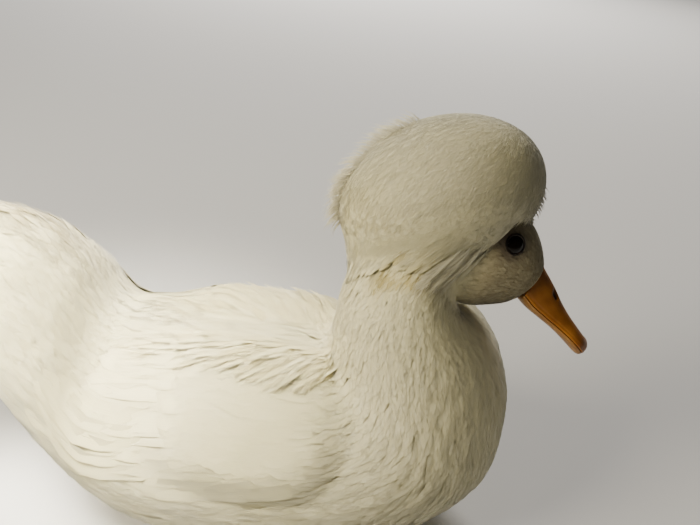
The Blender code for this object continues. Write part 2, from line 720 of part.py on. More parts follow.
def make_crest(finish, holder, cutters):
    """The globe crest: vanes that spring from a core on the nape and close into a dome, tier over tier."""
    frame = crest_frame()
    size = Vector(CREST_SIZE)
    core_shift = frame.inverted() @ (HEAD @ (Vector(CREST_CENTRE) * 0.62))
    crest = bmesh_ellipsoid("crest", size * CREST_CORE, 12, 7, finish, holder)
    crest.data.transform(frame @ Matrix.Translation(core_shift))
    skin = BVHTree.FromPolygons(*body_surface(NECK_START - 2, BODY_END))

    def dome(direction, reach):
        return frame @ Vector([d * s * reach for d, s in zip(direction, size)])

    def core(direction, reach):
        return frame @ (core_shift + Vector([d * s * CREST_CORE * reach for d, s in zip(direction, size)]))

    draw = random.Random(5)
    feathers = []
    tiers = [CREST_TOP_TIER + (CREST_TOP,)] + [tier + (CREST_RISE,) for tier in CREST_TIERS]
    eyes = [HEAD @ Vector((EYE_CENTRE[0], sign * EYE_CENTRE[1], EYE_CENTRE[2])) for _, sign in SIDES]
    for tier, (degrees, count, rise) in enumerate(tiers):
        for i in range(count):
            around = (i + 0.5 * (tier % 2)) * 2 * math.pi / count + draw.uniform(-0.03, 0.03)
            polar = math.radians(degrees + draw.uniform(-1.5, 1.5))
            swell = draw.uniform(-0.004, 0.004)
            path, widths = [], []
            for (back, reach), off in zip(rise, CREST_DRAPE):
                at = max(polar - math.radians(back * (0.72 if tier == 1 else 1.0)), math.radians(2.5))
                way = dome_direction(at, around)[0]
                spacing = 2 * math.pi * max(math.sin(at), 0.05) / count * size.z
                path.append(core(way, 0.85) if reach is None else off_skin(skin, dome(way, reach + swell), off))
                widths.append(CREST_QUILL if reach is None else spacing * CREST_OVERLAP)
            if any(place is None for place in path) or min((path[-1] - e).length for e in eyes) < CREST_EYE_ROOM:
                continue
            widths[3] *= 0.76
            _, side = dome_direction(polar, around)
            side = (frame.to_3x3() @ Vector([a * b for a, b in zip(side, size)])).normalized()
            name = "crest_feather_" + str(tier) + "_" + str(i)
            across = np.tile(np.array(side), (len(path), 1))
            feathers.append(vane(name, path, across, widths, VANE, 0.10, 0.12, finish, holder))
    for i, (round_neck, along_neck) in enumerate(NAPE_FEATHERS):
        station, angle = NECK_START + along_neck, math.radians(round_neck)
        tip = Vector(body_point(station, angle).tolist()) + Vector(body_normal(station, angle).tolist()) * 0.0028
        over = Vector(body_point(station + 1.5, angle).tolist()) + Vector(body_normal(station + 1.5, angle).tolist()) * 0.014
        root = frame @ core_shift
        path = [(1 - t) ** 2 * root + 2 * t * (1 - t) * over + t * t * tip for t in (0.15, 0.42, 0.66, 0.88, 1.0)]
        path = [path[0]] + [off_skin(skin, place, 0.0026) for place in path[1:]]
        if any(place is None for place in path):
            continue
        side = body_point(station, angle + 0.1) - body_point(station, angle - 0.1)
        across = np.tile(side / np.linalg.norm(side), (len(path), 1))
        widths = np.array((0.15, 0.8, 1.0, 0.74)) * NAPE_WIDTH
        feathers.append(vane("nape_feather_" + str(i), path, across, widths, VANE, 0.14, 0.10, finish, holder))
    fuse(crest, feathers, "MANIFOLD")
    cut_clear(crest, cutters)


def body_surface(first, last):
    """Points and faces of the body between two named sections, closed at both ends."""
    rings = body_rings(first, last)
    count, around = rings.shape[:2]
    faces = [tuple(reversed(range(around))), tuple(range((count - 1) * around, count * around))]
    for i in range(count - 1):
        for j in range(around):
            k = (j + 1) % around
            faces.append((i * around + j, (i + 1) * around + j, (i + 1) * around + k, i * around + k))
    return [Vector(p.tolist()) for p in rings.reshape(-1, 3)], faces


def off_skin(skin, point, off):
    """The point itself where it is clear of the skin, else the place over the skin nearest to it."""
    near, _, _, distance = skin.find_nearest(point)
    ray, start, crossings = Vector((0.31, 0.48, 0.82)).normalized(), point.copy(), 0
    while True:
        hit = skin.ray_cast(start, ray)[0]
        if hit is None:
            break
        crossings += 1
        start = hit + ray * 0.00001
    inside = crossings % 2 == 1
    if inside and distance > CREST_DEEPEST:
        return None
    if not inside and distance >= off:
        return point
    outward = (near - point).normalized() if inside else (point - near).normalized()
    return near + outward * off


def make_leg(side, sign, finish, holder, cutters):
    """The feathered shank under the flank, from the belly down and back to the ankle."""
    top = Vector((SHANK_TOP[0], sign * SHANK_TOP[1], SHANK_TOP[2]))
    ankle = Vector((ANKLE[0], sign * ANKLE[1], ANKLE[2] + 0.002))
    places = [top.lerp(ankle, share) for share in (0.0, 0.4, 0.7, 0.9, 1.0)]
    leg = tapered_tube("leg_" + side, places, (0.015, 0.0135, 0.0110, 0.0082, 0.0064), 4, finish, holder)
    cut_clear(leg, cutters)


def mesh_from_curve(curve_object, finish, holder):
    """Turns a curve into a closed mesh in place, with its caps welded."""
    bpy.context.view_layer.update()
    graph = bpy.context.evaluated_depsgraph_get()
    mesh = bpy.data.meshes.new_from_object(curve_object.evaluated_get(graph))
    edit = bmesh.new()
    edit.from_mesh(mesh)
    bmesh.ops.remove_doubles(edit, verts=edit.verts, dist=0.00001)
    face_outward(edit)
    edit.to_mesh(mesh)
    edit.free()
    mesh.materials.clear()
    mesh.materials.append(finish)
    made = bpy.data.objects.new(curve_object.name, mesh)
    made.matrix_world = curve_object.matrix_world
    name = curve_object.name
    bpy.data.objects.remove(curve_object)
    made.name = name
    holder.objects.link(made)
    return made


def tapered_tube(name, points, radii, roundness, finish, holder):
    """A round tube along points, with a radius at each."""
    curve = bpy.data.curves.new(name, "CURVE")
    curve.dimensions = "3D"
    curve.bevel_depth = max(radii)
    curve.bevel_resolution = roundness
    curve.use_fill_caps = True
    spline = curve.splines.new("POLY")
    spline.points.add(len(points) - 1)
    for point, place, radius in zip(spline.points, points, radii):
        point.co = (*place, 1.0)
        point.radius = radius / max(radii)
    tube = bpy.data.objects.new(name, curve)
    holder.objects.link(tube)
    return mesh_from_curve(tube, finish, holder)


def toe_end(sign, heading, length):
    angle = math.radians(heading) * sign
    return Vector((TOE_ROOT[0] + length * math.cos(angle), sign * TOE_ROOT[1] + length * math.sin(angle), TOE_RADIUS * 0.62))


def rest_on_floor(obj):
    """Flattens whatever would dip under the floor onto it."""
    for vertex in obj.data.vertices:
        if vertex.co.z < 0.0:
            vertex.co.z = 0.0


def make_foot(side, sign, foot_finish, claw_finish, holder):
    """The webbed foot, laid flat on the floor: tarsus, three webbed toes, hind toe, and a claw on each."""
    ankle = Vector((ANKLE[0], sign * ANKLE[1], ANKLE[2]))
    root = Vector((TOE_ROOT[0], sign * TOE_ROOT[1], TOE_ROOT[2]))
    heel = ankle + Vector((-0.005, 0, 0))
    places = (heel, ankle, ankle.lerp(root, 0.5), root, root + Vector((0.007, 0, -0.0015)))
    foot = tapered_tube("foot_" + side, places, (0.0040, 0.0060, 0.0045, 0.0056, 0.0028), 3, foot_finish, holder)
    pieces, claws = [], []
    for name, heading, length in TOES:
        end = toe_end(sign, heading, length)
        joints = [root.lerp(end, share) for share in (0.0, 0.30, 0.36, 0.62, 0.68, 0.94, 1.0)]
        for i, joint in enumerate(joints):
            joint.z = TOE_RADIUS * (1.15 - 0.42 * i / 6)
        radii = [TOE_RADIUS * swell for swell in (1.05, 0.92, 1.10, 0.82, 0.98, 0.74, 0.58)]
        pieces.append(tapered_tube("toe_" + name, joints, radii, 1, foot_finish, holder))
        claws.append((name, end, (end - root).normalized()))
    back = root + Vector((-HIND_TOE, -sign * 0.008, -0.0015))
    pieces.append(tapered_tube("toe_hind", (root, back), (0.0030, 0.0022), 2, foot_finish, holder))
    claws.append(("hind", back, (back - root).normalized()))
    pieces.append(make_web(side, sign, foot_finish, holder))
    fuse(foot, pieces)
    rest_on_floor(foot)
    keep_largest(foot)
    for name, end, forward in claws:
        make_claw("claw_" + name + "_" + side, end, forward, claw_finish, holder)
    return foot


def make_web(side, sign, finish, holder):
    """The web between the three front toes, with a hollow edge between each pair."""
    inner, outer = TOES[0], TOES[-1]
    outline = [(TOE_ROOT[0] - 0.003, sign * TOE_ROOT[1])]
    for i in range(13):
        share = i / 12
        heading = inner[1] + (outer[1] - inner[1]) * share
        reach = profile(heading, [t[1] for t in TOES], [t[2] for t in TOES])
        hollow = 0.18 * math.sin(math.pi * ((share * 2) % 1.0))
        angle = math.radians(heading) * sign
        length = reach * (0.95 - hollow)
        outline.append((TOE_ROOT[0] + length * math.cos(angle), sign * TOE_ROOT[1] + length * math.sin(angle)))
    curve = bpy.data.curves.new("web_" + side, "CURVE")
    curve.dimensions = "2D"
    curve.fill_mode = "BOTH"
    curve.extrude = WEB_THICKNESS / 2
    spline = curve.splines.new("POLY")
    spline.points.add(len(outline) - 1)
    for point, (x, y) in zip(spline.points, outline):
        point.co = (x, y, 0, 1)
    spline.use_cyclic_u = True
    flat = bpy.data.objects.new("web_" + side, curve)
    flat.location.z = WEB_THICKNESS / 2
    holder.objects.link(flat)
    return mesh_from_curve(flat, finish, holder)


def make_claw(name, end, forward, finish, holder):
    """A short curved claw past the toe's end, with a gap to the toe."""
    places, radii = [], []
    for share, swell in ((0.0, 1.0), (0.35, 0.86), (0.7, 0.52), (1.0, 0.16)):
        radius = 0.0017 * swell
        place = end + forward * (GAP + CLAW_LENGTH * share)
        place.z = max(end.z + 0.0003 - 0.0012 * share**2, radius + 0.0002)
        places.append(place)
        radii.append(radius)
    tapered_tube(name, places, radii, 1, finish, holder)


def build():
    clear_scene()
    duck = collection("crested_duck")
    cutters = collection("cutters", shown=False)
    feather = material("feather", (0.86, 0.82, 0.68), 0.75)
    flight = material("flight_feather", (0.88, 0.85, 0.74), 0.6)
    orange = material("bill", (0.78, 0.36, 0.06), 0.45)
    orange_low = material("bill_lower", (0.74, 0.38, 0.09), 0.45)
    foot_skin = material("foot_skin", (0.80, 0.36, 0.07), 0.5)
    claw_horn = material("claw", (0.62, 0.52, 0.40), 0.4)
    eye = material("eye", (0.015, 0.012, 0.010), 0.08)
    torso = make_torso(feather, duck)
    neck = make_neck(feather, duck)
    head = make_head(feather, duck)
    torso_clear, neck_clear, head_clear = (grown(piece, cutters) for piece in (torso, neck, head))
    for side, sign in SIDES:
        make_eye(side, sign, head, eye, duck, cutters)
    make_bill(orange, orange_low, duck, cutters)
    lids_clear = [make_lid_room(side, sign, feather, cutters) for side, sign in SIDES]
    make_crest(feather, duck, [head_clear, neck_clear, torso_clear] + lids_clear)
    make_tail(flight, duck, (torso_clear,))
    for side, sign in SIDES:
        make_wing(side, sign, flight, duck, (torso_clear,))
        foot = make_foot(side, sign, foot_skin, claw_horn, duck)
        make_leg(side, sign, feather, duck, (torso_clear, grown(foot, cutters)))
    for piece in (torso, neck, head):
        piece.data.shade_smooth()


build()
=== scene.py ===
"""How the crested duck looks: skin, plumage, crest, wings, tail, bill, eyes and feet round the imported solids.

Metres. +X is forward, +Y the duck's left and +Z up, as in the solids. The sizes in the first half are
the solids' own. A place on the body is a station u from the tail end (0) to the face (20) and an
angle v from the back's midline, so that every feather is rooted on the body's own surface.
"""

import math

import bmesh
import bpy
import numpy as np
from mathutils import Euler, Matrix, Vector
from mathutils.bvhtree import BVHTree

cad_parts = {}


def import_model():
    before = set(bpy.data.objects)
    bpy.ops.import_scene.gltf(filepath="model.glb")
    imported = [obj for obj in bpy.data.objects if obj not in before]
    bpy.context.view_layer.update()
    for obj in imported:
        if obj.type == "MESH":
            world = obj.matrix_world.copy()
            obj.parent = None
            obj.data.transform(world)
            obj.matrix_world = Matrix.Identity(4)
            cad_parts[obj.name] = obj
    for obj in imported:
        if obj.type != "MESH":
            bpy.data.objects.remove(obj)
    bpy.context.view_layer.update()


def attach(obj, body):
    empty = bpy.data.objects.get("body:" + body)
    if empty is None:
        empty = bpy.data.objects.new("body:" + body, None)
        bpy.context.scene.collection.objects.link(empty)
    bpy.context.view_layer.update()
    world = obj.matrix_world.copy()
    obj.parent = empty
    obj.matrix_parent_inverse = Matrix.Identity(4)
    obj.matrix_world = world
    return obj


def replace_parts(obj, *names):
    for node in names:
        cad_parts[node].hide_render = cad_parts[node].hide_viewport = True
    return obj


# How the head is held: turned to the right, nose down, right eye tilted up.
HEAD_CENTRE = (0.124, 0.008, 0.196)
HEAD_TURN = math.radians(-11)
HEAD_NOD = math.radians(22)
HEAD_TILT = math.radians(-25)
BILL_DROOP = math.radians(17)

# Body sections in side view: top of the section, bottom of it, half its width.
TORSO_SECTIONS = (
    ((-0.177, 0.196), (-0.170, 0.154), 0.020),
    ((-0.154, 0.196), (-0.152, 0.126), 0.036),
    ((-0.124, 0.187), (-0.134, 0.084), 0.051),
    ((-0.102, 0.164), (-0.112, 0.046), 0.060),
    ((-0.084, 0.135), (-0.085, 0.014), 0.065),
    ((-0.050, 0.135), (-0.050, -0.004), 0.073),
    ((-0.008, 0.135), (0.002, -0.007), 0.077),
    ((0.024, 0.133), (0.052, -0.003), 0.076),
    ((0.034, 0.132), (0.110, 0.014), 0.072),
    ((0.039, 0.133), (0.150, 0.055), 0.064),
    ((0.042, 0.137), (0.152, 0.102), 0.054),
)
# Neck sections have one more value, the share of the head's own turn and tilt that they take.
NECK_SECTIONS = (
    ((0.044, 0.151), (0.142, 0.134), 0.046, 0.00),
    ((0.047, 0.170), (0.131, 0.151), 0.041, 0.12),
    ((0.058, 0.194), (0.117, 0.161), 0.036, 0.35),
    ((0.074, 0.212), (0.112, 0.162), 0.031, 0.65),
)
HEAD_SECTIONS = (
    ((-0.0360, 0.0140), (-0.0050, -0.0325), 0.0280),
    ((-0.0260, 0.0235), (0.0000, -0.0316), 0.0275),
    ((-0.0080, 0.0275), (0.0050, -0.0298), 0.0262),
    ((0.0085, 0.0245), (0.0110, -0.0262), 0.0220),
    ((0.0195, 0.0175), (0.0190, -0.0205), 0.0170),
    ((0.0275, 0.0085), (0.0240, -0.0140), 0.0122),
)
NECK_START = len(TORSO_SECTIONS) - 1
HEAD_START = len(TORSO_SECTIONS) + len(NECK_SECTIONS)
BODY_END = HEAD_START + len(HEAD_SECTIONS) - 1

EYE_CENTRE = (0.0020, 0.0208, 0.0095)
EYE_RADIUS = 0.0052
EYE_DEPTH = 0.0034
EYE_GAP = 0.0003
LID_THICKNESS = 0.00055
LID_LEVEL = 0.0014

BILL_LENGTH = 0.050
NOSTRIL_AT = 0.0140
BILL_AROUND = 160

# The crest's dome, in the head's frame, and the point that its feathers part from.
CREST_CENTRE = (-0.0400, 0.000, 0.0127)
CREST_SIZE = (0.055, 0.043, 0.040)
CREST_RADIUS = 0.045
CREST_LEAN = math.radians(47)
CREST_PARTING = (0.15, 0.0, 0.99)

# The folded wing: its middle and reach in the map of the duck's side, and how far it stands out.
WING_MIDDLE = (0.004, 0.053)
WING_REACH = (0.056, 0.049)
WING_RISE = 0.0080

TAIL_ROOT = (-0.176, 0.0, 0.183)
TAIL_RISE = math.radians(20)
QUILLS = 12
QUILL_SPREAD = math.radians(5.2)
QUILL_END = 0.074
QUILL_WIDTH = 0.0150
COVERT_LAYERS = 6
COVERT_SPREAD = math.radians(7.5)
COVERT_WIDTH = 0.0105

ANKLE = (-0.052, 0.060, 0.0075)
SHANK_TOP = (-0.014, 0.050, 0.046)
TOE_ROOT = (0.002, 0.064, 0.0058)
TOES = (("inner", -17.0, 0.043), ("middle", 7.0, 0.054), ("outer", 30.0, 0.047))
TOE_RADIUS = 0.0034
WEB_LEVEL = 0.0010
WEB_HALF_THICKNESS = 0.0006
CLAW_LENGTH = 0.0075
FOOT_VOXEL = 0.0006

SIDES = (("left", 1.0), ("right", -1.0))
SKIN_AROUND = 96
SKIN_STEPS = 11
# The skin's depth as a share of the coat's, and the least heights of the coat and skin over the floor.
SKIN_DEPTH = 0.92
FLOOR_CLEAR = 0.0002
SKIN_CLEAR = 0.0006

# Plumage by station: length, width and spacing of the feathers, and depth of the coat, in millimetres.
PLUMAGE = (
    (0.0, 21.0, 6.0, 4.0, 3.4),
    (3.0, 22.0, 6.6, 4.3, 3.8),
    (6.0, 20.0, 6.6, 4.3, 3.4),
    (8.5, 16.0, 5.2, 3.5, 3.0),
    (10.2, 12.5, 3.9, 2.7, 2.4),
    (12.0, 10.0, 3.0, 2.1, 2.0),
    (14.5, 8.0, 2.4, 1.7, 1.6),
    (16.5, 5.2, 1.9, 1.30, 1.1),
    (18.0, 3.6, 1.5, 1.05, 0.8),
    (20.0, 2.4, 1.1, 0.80, 0.6),
)

# How high the plumage's soft ridges stand, by station.
CLUMP_HEIGHTS = ((0.0, 3.0, 7.0, 10.0, 12.5, 14.5), (0.00055, 0.00060, 0.00042, 0.00045, 0.00030, 0.0))

# How far a feather's edges droop as a share of its half width, and how thick it is.
CUP = 0.045
VANE_THICKNESS = 0.00022
FINE_VANE_THICKNESS = 0.00012
BARB_THICKNESS = 0.00010

CREAM = (0.83, 0.76, 0.44)
IVORY = (0.90, 0.83, 0.54)
STAIN = (0.55, 0.42, 0.12)
SHADED = (0.13, 0.10, 0.07)
DUSKY = (0.36, 0.29, 0.15)
OLIVE = (0.34, 0.26, 0.08)
# Painted shade for the fold between the rump's mound and the flank.
FOLD_SHADE = (0.62, 0.44, 0.24)
# Mostly painted shade for the face, with some soiling.
FACE_SHADE_AND_GRIME = (0.17, 0.125, 0.070)

# The camera: the point that it looks at, its angles and distance, and its lens on a 36 mm frame.
CAMERA_TARGET = (0.049, 0.0, 0.186)
CAMERA_AZIMUTH = math.radians(-1)
CAMERA_ELEVATION = math.radians(33)
CAMERA_ROLL = math.radians(6)
CAMERA_DISTANCE = 0.303
CAMERA_LENS = 29.16

# Lamps: place, width, watts, colour, the point that each is aimed at, and its spread in degrees.
LAMPS = (
    ("key", (-0.78, -0.36, 0.72), 0.50, 16.0, (1.0, 0.91, 0.69), (0.0, 0.0, 0.12), 180),
    ("kicker", (-0.20, -0.14, 0.78), 0.25, 2.0, (1.0, 0.93, 0.74), (-0.17, -0.03, 0.16), 34),
    ("fill", (0.70, -2.40, 1.50), 2.20, 3.2, (1.0, 0.95, 0.84), (0.0, 0.0, 0.12), 180),
    ("rim", (0.0, 4.20, 3.20), 2.00, 120.0, (1.0, 0.95, 0.86), (0.20, 2.40, 0.0), 80),
)
WORLD_COLOUR = (1.0, 0.96, 0.88)
WORLD_LIGHT = 0.10
FLOOR_HALF = 14.0
FLOOR_COLOUR = (0.52, 0.52, 0.53)


def smooth_step(t):
    t = np.clip(t, 0.0, 1.0)
    return t * t * (3 - 2 * t)


def profile(x, stations, values):
    """A value that passes through the given ones with no corners between them."""
    x, stations, values = np.asarray(x, float), np.asarray(stations, float), np.asarray(values, float)
    k = np.clip(np.searchsorted(stations, x) - 1, 0, len(stations) - 2)
    slopes = np.gradient(values, stations)
    span = stations[k + 1] - stations[k]
    f = np.clip((x - stations[k]) / span, 0.0, 1.0)
    return hermite(values[k], values[k + 1], slopes[k] * span, slopes[k + 1] * span, f)


def hermite(start, end, start_slope, end_slope, f):
    f2, f3 = f * f, f * f * f
    blend = (2 * f3 - 3 * f2 + 1) * start + (3 * f2 - 2 * f3) * end
    return blend + (f3 - 2 * f2 + f) * start_slope + (f3 - f2) * end_slope


def unit(vectors):
    return vectors / np.maximum(np.linalg.norm(vectors, axis=-1, keepdims=True), 1e-12)


def head_matrix():
    turn = Euler((HEAD_TILT, HEAD_NOD, HEAD_TURN), "XYZ").to_matrix().to_4x4()
    return Matrix.Translation(HEAD_CENTRE) @ turn


HEAD = head_matrix()


def moved(matrix, points):
    matrix = np.array(matrix)
    return np.asarray(points, float) @ matrix[:3, :3].T + matrix[:3, 3]


def in_head(points):
    """Points in the head's own frame."""
    return moved(HEAD.inverted(), points)


def section_frames():
    """Top, bottom, left direction and half width of each section of the body."""
    frames = []
    level, head_left = Vector((0, 1, 0)), HEAD.to_3x3() @ Vector((0, 1, 0))
    for top, bottom, half_width in TORSO_SECTIONS:
        frames.append((Vector((top[0], 0, top[1])), Vector((bottom[0], 0, bottom[1])), level, half_width))
    for top, bottom, half_width, share in NECK_SECTIONS:
        aside = HEAD_CENTRE[1] * share
        high, low = Vector((top[0], aside, top[1])), Vector((bottom[0], aside, bottom[1]))
        frames.append((high, low, level.lerp(head_left, share).normalized(), half_width))
    for top, bottom, half_width in HEAD_SECTIONS:
        high, low = Vector((top[0], 0, top[1])), Vector((bottom[0], 0, bottom[1]))
        frames.append((HEAD @ high, HEAD @ low, head_left, half_width))
    return frames


FRAMES = section_frames()
TOPS = np.array([f[0] for f in FRAMES])
BOTTOMS = np.array([f[1] for f in FRAMES])
LEFTS = np.array([f[2] for f in FRAMES])
WIDTHS = np.array([f[3] for f in FRAMES])
MIDDLES = (TOPS + BOTTOMS) / 2
RISES = (TOPS - BOTTOMS) / 2
ALONG = np.concatenate([[0.0], np.cumsum(np.linalg.norm(np.diff(MIDDLES, axis=0), axis=1))])


def body_point(u, v):
    """Points of the body's outer form at station u and angle v."""
    u, v = np.broadcast_arrays(np.asarray(u, float), np.asarray(v, float))
    shape, u, v = u.shape, u.ravel(), v.ravel()
    k = np.clip(np.floor(u).astype(int), 0, len(MIDDLES) - 2)
    across, up = np.sin(v)[:, None], np.cos(v)[:, None]

    def key(i):
        return MIDDLES[i] + LEFTS[i] * (WIDTHS[i, None] * across) + RISES[i] * up

    def slope(i):
        before, after = np.maximum(i - 1, 0), np.minimum(i + 1, len(MIDDLES) - 1)
        return (key(after) - key(before)) / (ALONG[after] - ALONG[before])[:, None]

    span = (ALONG[k + 1] - ALONG[k])[:, None]
    found = hermite(key(k), key(k + 1), slope(k) * span, slope(k + 1) * span, (u - k)[:, None])
    found[:, 2] = np.maximum(found[:, 2], 0.0)
    return found.reshape(*shape, 3)


def body_tangents(u, v):
    """How the surface moves with the station and with the angle, and its outward normal."""
    step = 0.02
    u = np.clip(u, step, BODY_END - step)
    along = (body_point(u + step, v) - body_point(u - step, v)) / (2 * step)
    round_it = (body_point(u, v + step) - body_point(u, v - step)) / (2 * step)
    return along, round_it, unit(np.cross(along, round_it))


def flank_map():
    """For places along the duck and angles round it: the station, and how far down from the midline."""
    stations = np.linspace(0.0, NECK_START - 0.4, 150)
    angles = np.radians(np.linspace(0.0, 180.0, 73))
    grid = body_point(stations[:, None], angles[None, :])
    lengthwise = np.linspace(-0.150, 0.066, 55)
    found = np.stack([np.interp(lengthwise, grid[:, j, 0], stations) for j in range(len(angles))], axis=1)
    points = body_point(found, angles[None, :])
    steps = np.linalg.norm(np.diff(points, axis=1), axis=2)
    round_it = np.concatenate([np.zeros((len(lengthwise), 1)), np.cumsum(steps, axis=1)], axis=1)
    return lengthwise, angles, found, round_it


FLANK = flank_map()


def blend_rows(table, x, column):
    """Reads a table of the flank map at places x along the duck and fractional columns."""
    lengthwise = FLANK[0]
    row = np.clip((x - lengthwise[0]) / (lengthwise[1] - lengthwise[0]), 0, len(lengthwise) - 1.001)
    column = np.clip(column, 0, table.shape[1] - 1.001)
    i, j = row.astype(int), column.astype(int)
    a, b = row - i, column - j
    top = table[i, j] * (1 - b) + table[i, j + 1] * b
    return top * (1 - a) + (table[i + 1, j] * (1 - b) + table[i + 1, j + 1] * b) * a


def flank_place(x, drop):
    """Station and angle of a place in the flank map."""
    _, angles, found, round_it = FLANK
    x, drop = np.atleast_1d(x).astype(float), np.atleast_1d(drop).astype(float)
    columns = np.arange(len(angles), dtype=float)
    reach = np.stack([blend_rows(round_it, x, np.full(len(x), c)) for c in columns], axis=1)
    column = np.array([np.interp(d, r, columns) for d, r in zip(drop, reach)])
    return blend_rows(found, x, column), np.interp(column, columns, angles)


def flank_drop(points, v):
    """How far down the duck's side points at angles v are, measured round it from the back's midline."""
    angle = np.abs((np.asarray(v) + math.pi) % (2 * math.pi) - math.pi)
    return blend_rows(FLANK[3], points[..., 0], angle / (FLANK[1][1] - FLANK[1][0]))


def wing_share(u, v):
    """How deep in the folded wing's outline a place on the body lies: 1 in its middle, 0 on its edge."""
    points = body_point(u, v)
    drop = flank_drop(points, v)
    out = (np.abs(points[..., 0] - WING_MIDDLE[0]) / WING_REACH[0]) ** 3.0
    out = out + (np.abs(drop - WING_MIDDLE[1]) / WING_REACH[1]) ** 3.0
    inside = 1 - out ** (1 / 3.0)
    return np.clip(inside, 0, 1) * smooth_step((NECK_START - 0.3 - np.asarray(u)) / 1.6)


def wing_rise(u, v):
    return WING_RISE * smooth_step(wing_share(u, v) / 0.45) ** 0.75


def clumps(u, v):
    """Low ridges along the lie of the feathers, where soft plumage gathers, in metres."""
    u, v = np.asarray(u, float), np.asarray(v, float)
    broad = np.sin(v * 29 + 2.2 * np.sin(u * 2.1 + 4 * np.sin(v))) * np.sin(u * 3.9 + 1.9 * np.sin(v * 8))
    narrow = np.sin(v * 61 + 3.1 * np.sin(u * 3.3)) * np.sin(u * 7.7 + 2.3 * np.sin(v * 16))
    height = np.interp(u, *CLUMP_HEIGHTS)
    return height * (0.62 * broad + 0.38 * narrow) * (1 - 0.55 * smooth_step(wing_share(u, v) / 0.3))


def outer_point(u, v):
    """Points of the body's outer form with the folded wings and the plumage's clumps on it."""
    _, _, normal = body_tangents(u, v)
    return body_point(u, v) + normal * (wing_rise(u, v) + clumps(u, v))[..., None]


def outer_normal(u, v):
    step = 0.03
    u = np.clip(u, 2 * step, BODY_END - 2 * step)
    along = outer_point(u + step, v) - outer_point(u - step, v)
    round_it = outer_point(u, v + step) - outer_point(u, v - step)
    return unit(np.cross(along, round_it))


def plumage(u, column):
    table = np.array(PLUMAGE)
    return np.interp(u, table[:, 0], table[:, column]) * 0.001


def set_inputs(shader, **values):
    for key, value in values.items():
        shader.inputs[key.replace("_", " ")].default_value = value


def material(name, colour, roughness, build=None):
    made = bpy.data.materials.new(name)
    made.use_nodes = True
    shader = made.node_tree.nodes["Principled BSDF"]
    set_inputs(shader, Base_Color=(*colour, 1), Roughness=roughness)
    if build:
        build(made.node_tree, shader)
    return made


def node(tree, kind, settings=(), **inputs):
    made = tree.nodes.new(kind)
    for key, value in dict(settings).items():
        setattr(made, key, value)
    for key, value in inputs.items():
        socket = made.inputs[key.replace("_", " ")]
        if isinstance(value, bpy.types.NodeSocket):
            tree.links.new(value, socket)
        else:
            socket.default_value = value
    return made


def ramp(tree, fac, stops):
    made = tree.nodes.new("ShaderNodeValToRGB")
    tree.links.new(fac, made.inputs["Fac"])
    elements = made.color_ramp.elements
    while len(elements) < len(stops):
        elements.new(0.5)
    for element, (place, colour) in zip(elements, stops):
        element.position = place
        element.color = (*colour, 1)
    return made.outputs["Color"]


def noise(tree, place, scale, detail=2.0, roughness=0.5):
    made = node(tree, "ShaderNodeTexNoise", Vector=place, Scale=scale, Detail=detail, Roughness=roughness)
    return made.outputs["Fac"]


def object_place(tree):
    return node(tree, "ShaderNodeTexCoord").outputs["Object"]


def tinted(tree, shader, shade):
    """Colours the surface with the mesh's own tint, under a pattern of light and dark."""
    made = node(tree, "ShaderNodeMix", {"data_type": "RGBA", "blend_type": "MULTIPLY"})
    made.inputs[0].default_value = 1.0
    tint = node(tree, "ShaderNodeAttribute", {"attribute_name": "tint"}).outputs["Color"]
    tree.links.new(tint, made.inputs[6])
    tree.links.new(shade, made.inputs[7])
    tree.links.new(made.outputs[2], shader.inputs["Base Color"])


def bumpy(tree, shader, height, strength, distance):
    bump = node(tree, "ShaderNodeBump", Height=height, Strength=strength, Distance=distance)
    tree.links.new(bump.outputs["Normal"], shader.inputs["Normal"])


def leathery(tree, shader, blotch, grain, bump, rough, glow):
    """A fine bumpy grain, rougher where the blotches are lighter, that lets a little light through."""
    bumpy(tree, shader, grain, *bump)
    spread = node(tree, "ShaderNodeMapRange", Value=blotch, To_Min=rough[0], To_Max=rough[1])
    tree.links.new(spread.outputs["Result"], shader.inputs["Roughness"])
    set_inputs(shader, Subsurface_Weight=glow[0], Subsurface_Scale=glow[1])


def feather_nodes(streak, depth, glow, glow_reach):
    """Colour from the coat's own tint, with fine barbs drawn along each vane and light let through it."""

    def build(tree, shader):
        vane = node(tree, "ShaderNodeUVMap", {"uv_map": "Vane"}).outputs["UV"]
        stretched = node(tree, "ShaderNodeMapping", Vector=vane, Scale=(streak, 1.6, 1.0)).outputs["Vector"]
        barbs = noise(tree, stretched, 1.0, 3.0, 0.6)
        tinted(tree, shader, ramp(tree, barbs, ((0.30, (0.93, 0.92, 0.89)), (0.62, (1.0, 1.0, 1.0)))))
        bumpy(tree, shader, barbs, 0.22, depth)
        set_inputs(
            shader,
            Subsurface_Weight=glow,
            Subsurface_Radius=(1.0, 0.88, 0.62),
            Subsurface_Scale=glow_reach,
            Sheen_Weight=0.25,
            Sheen_Roughness=0.45,
            Specular_IOR_Level=0.25,
        )

    return build


def hide_nodes(scale, low, high, bump_scale, strength):
    """Horny or leathery skin: soft blotches of two tones, with a fine bumpy grain."""

    def build(tree, shader):
        place = object_place(tree)
        blotch = noise(tree, place, scale, 4.0)
        tree.links.new(ramp(tree, blotch, ((0.32, low), (0.68, high))), shader.inputs["Base Color"])
        grain = node(tree, "ShaderNodeTexVoronoi", Vector=place, Scale=bump_scale).outputs["Distance"]
        leathery(tree, shader, blotch, grain, (strength, 0.0003), (0.34, 0.52), (0.12, 0.003))

    return build


def horn_nodes(low, high):
    """The bill's leathery skin: blotches of two tones and a fine grain, shaded by the mesh's own tint."""

    def build(tree, shader):
        place = object_place(tree)
        blotch = noise(tree, place, 110.0, 5.0)
        tinted(tree, shader, ramp(tree, blotch, ((0.34, low), (0.66, high))))
        grain = noise(tree, place, 1400.0, 3.0)
        leathery(tree, shader, blotch, grain, (0.10, 0.0002), (0.40, 0.54), (0.10, 0.002))

    return build


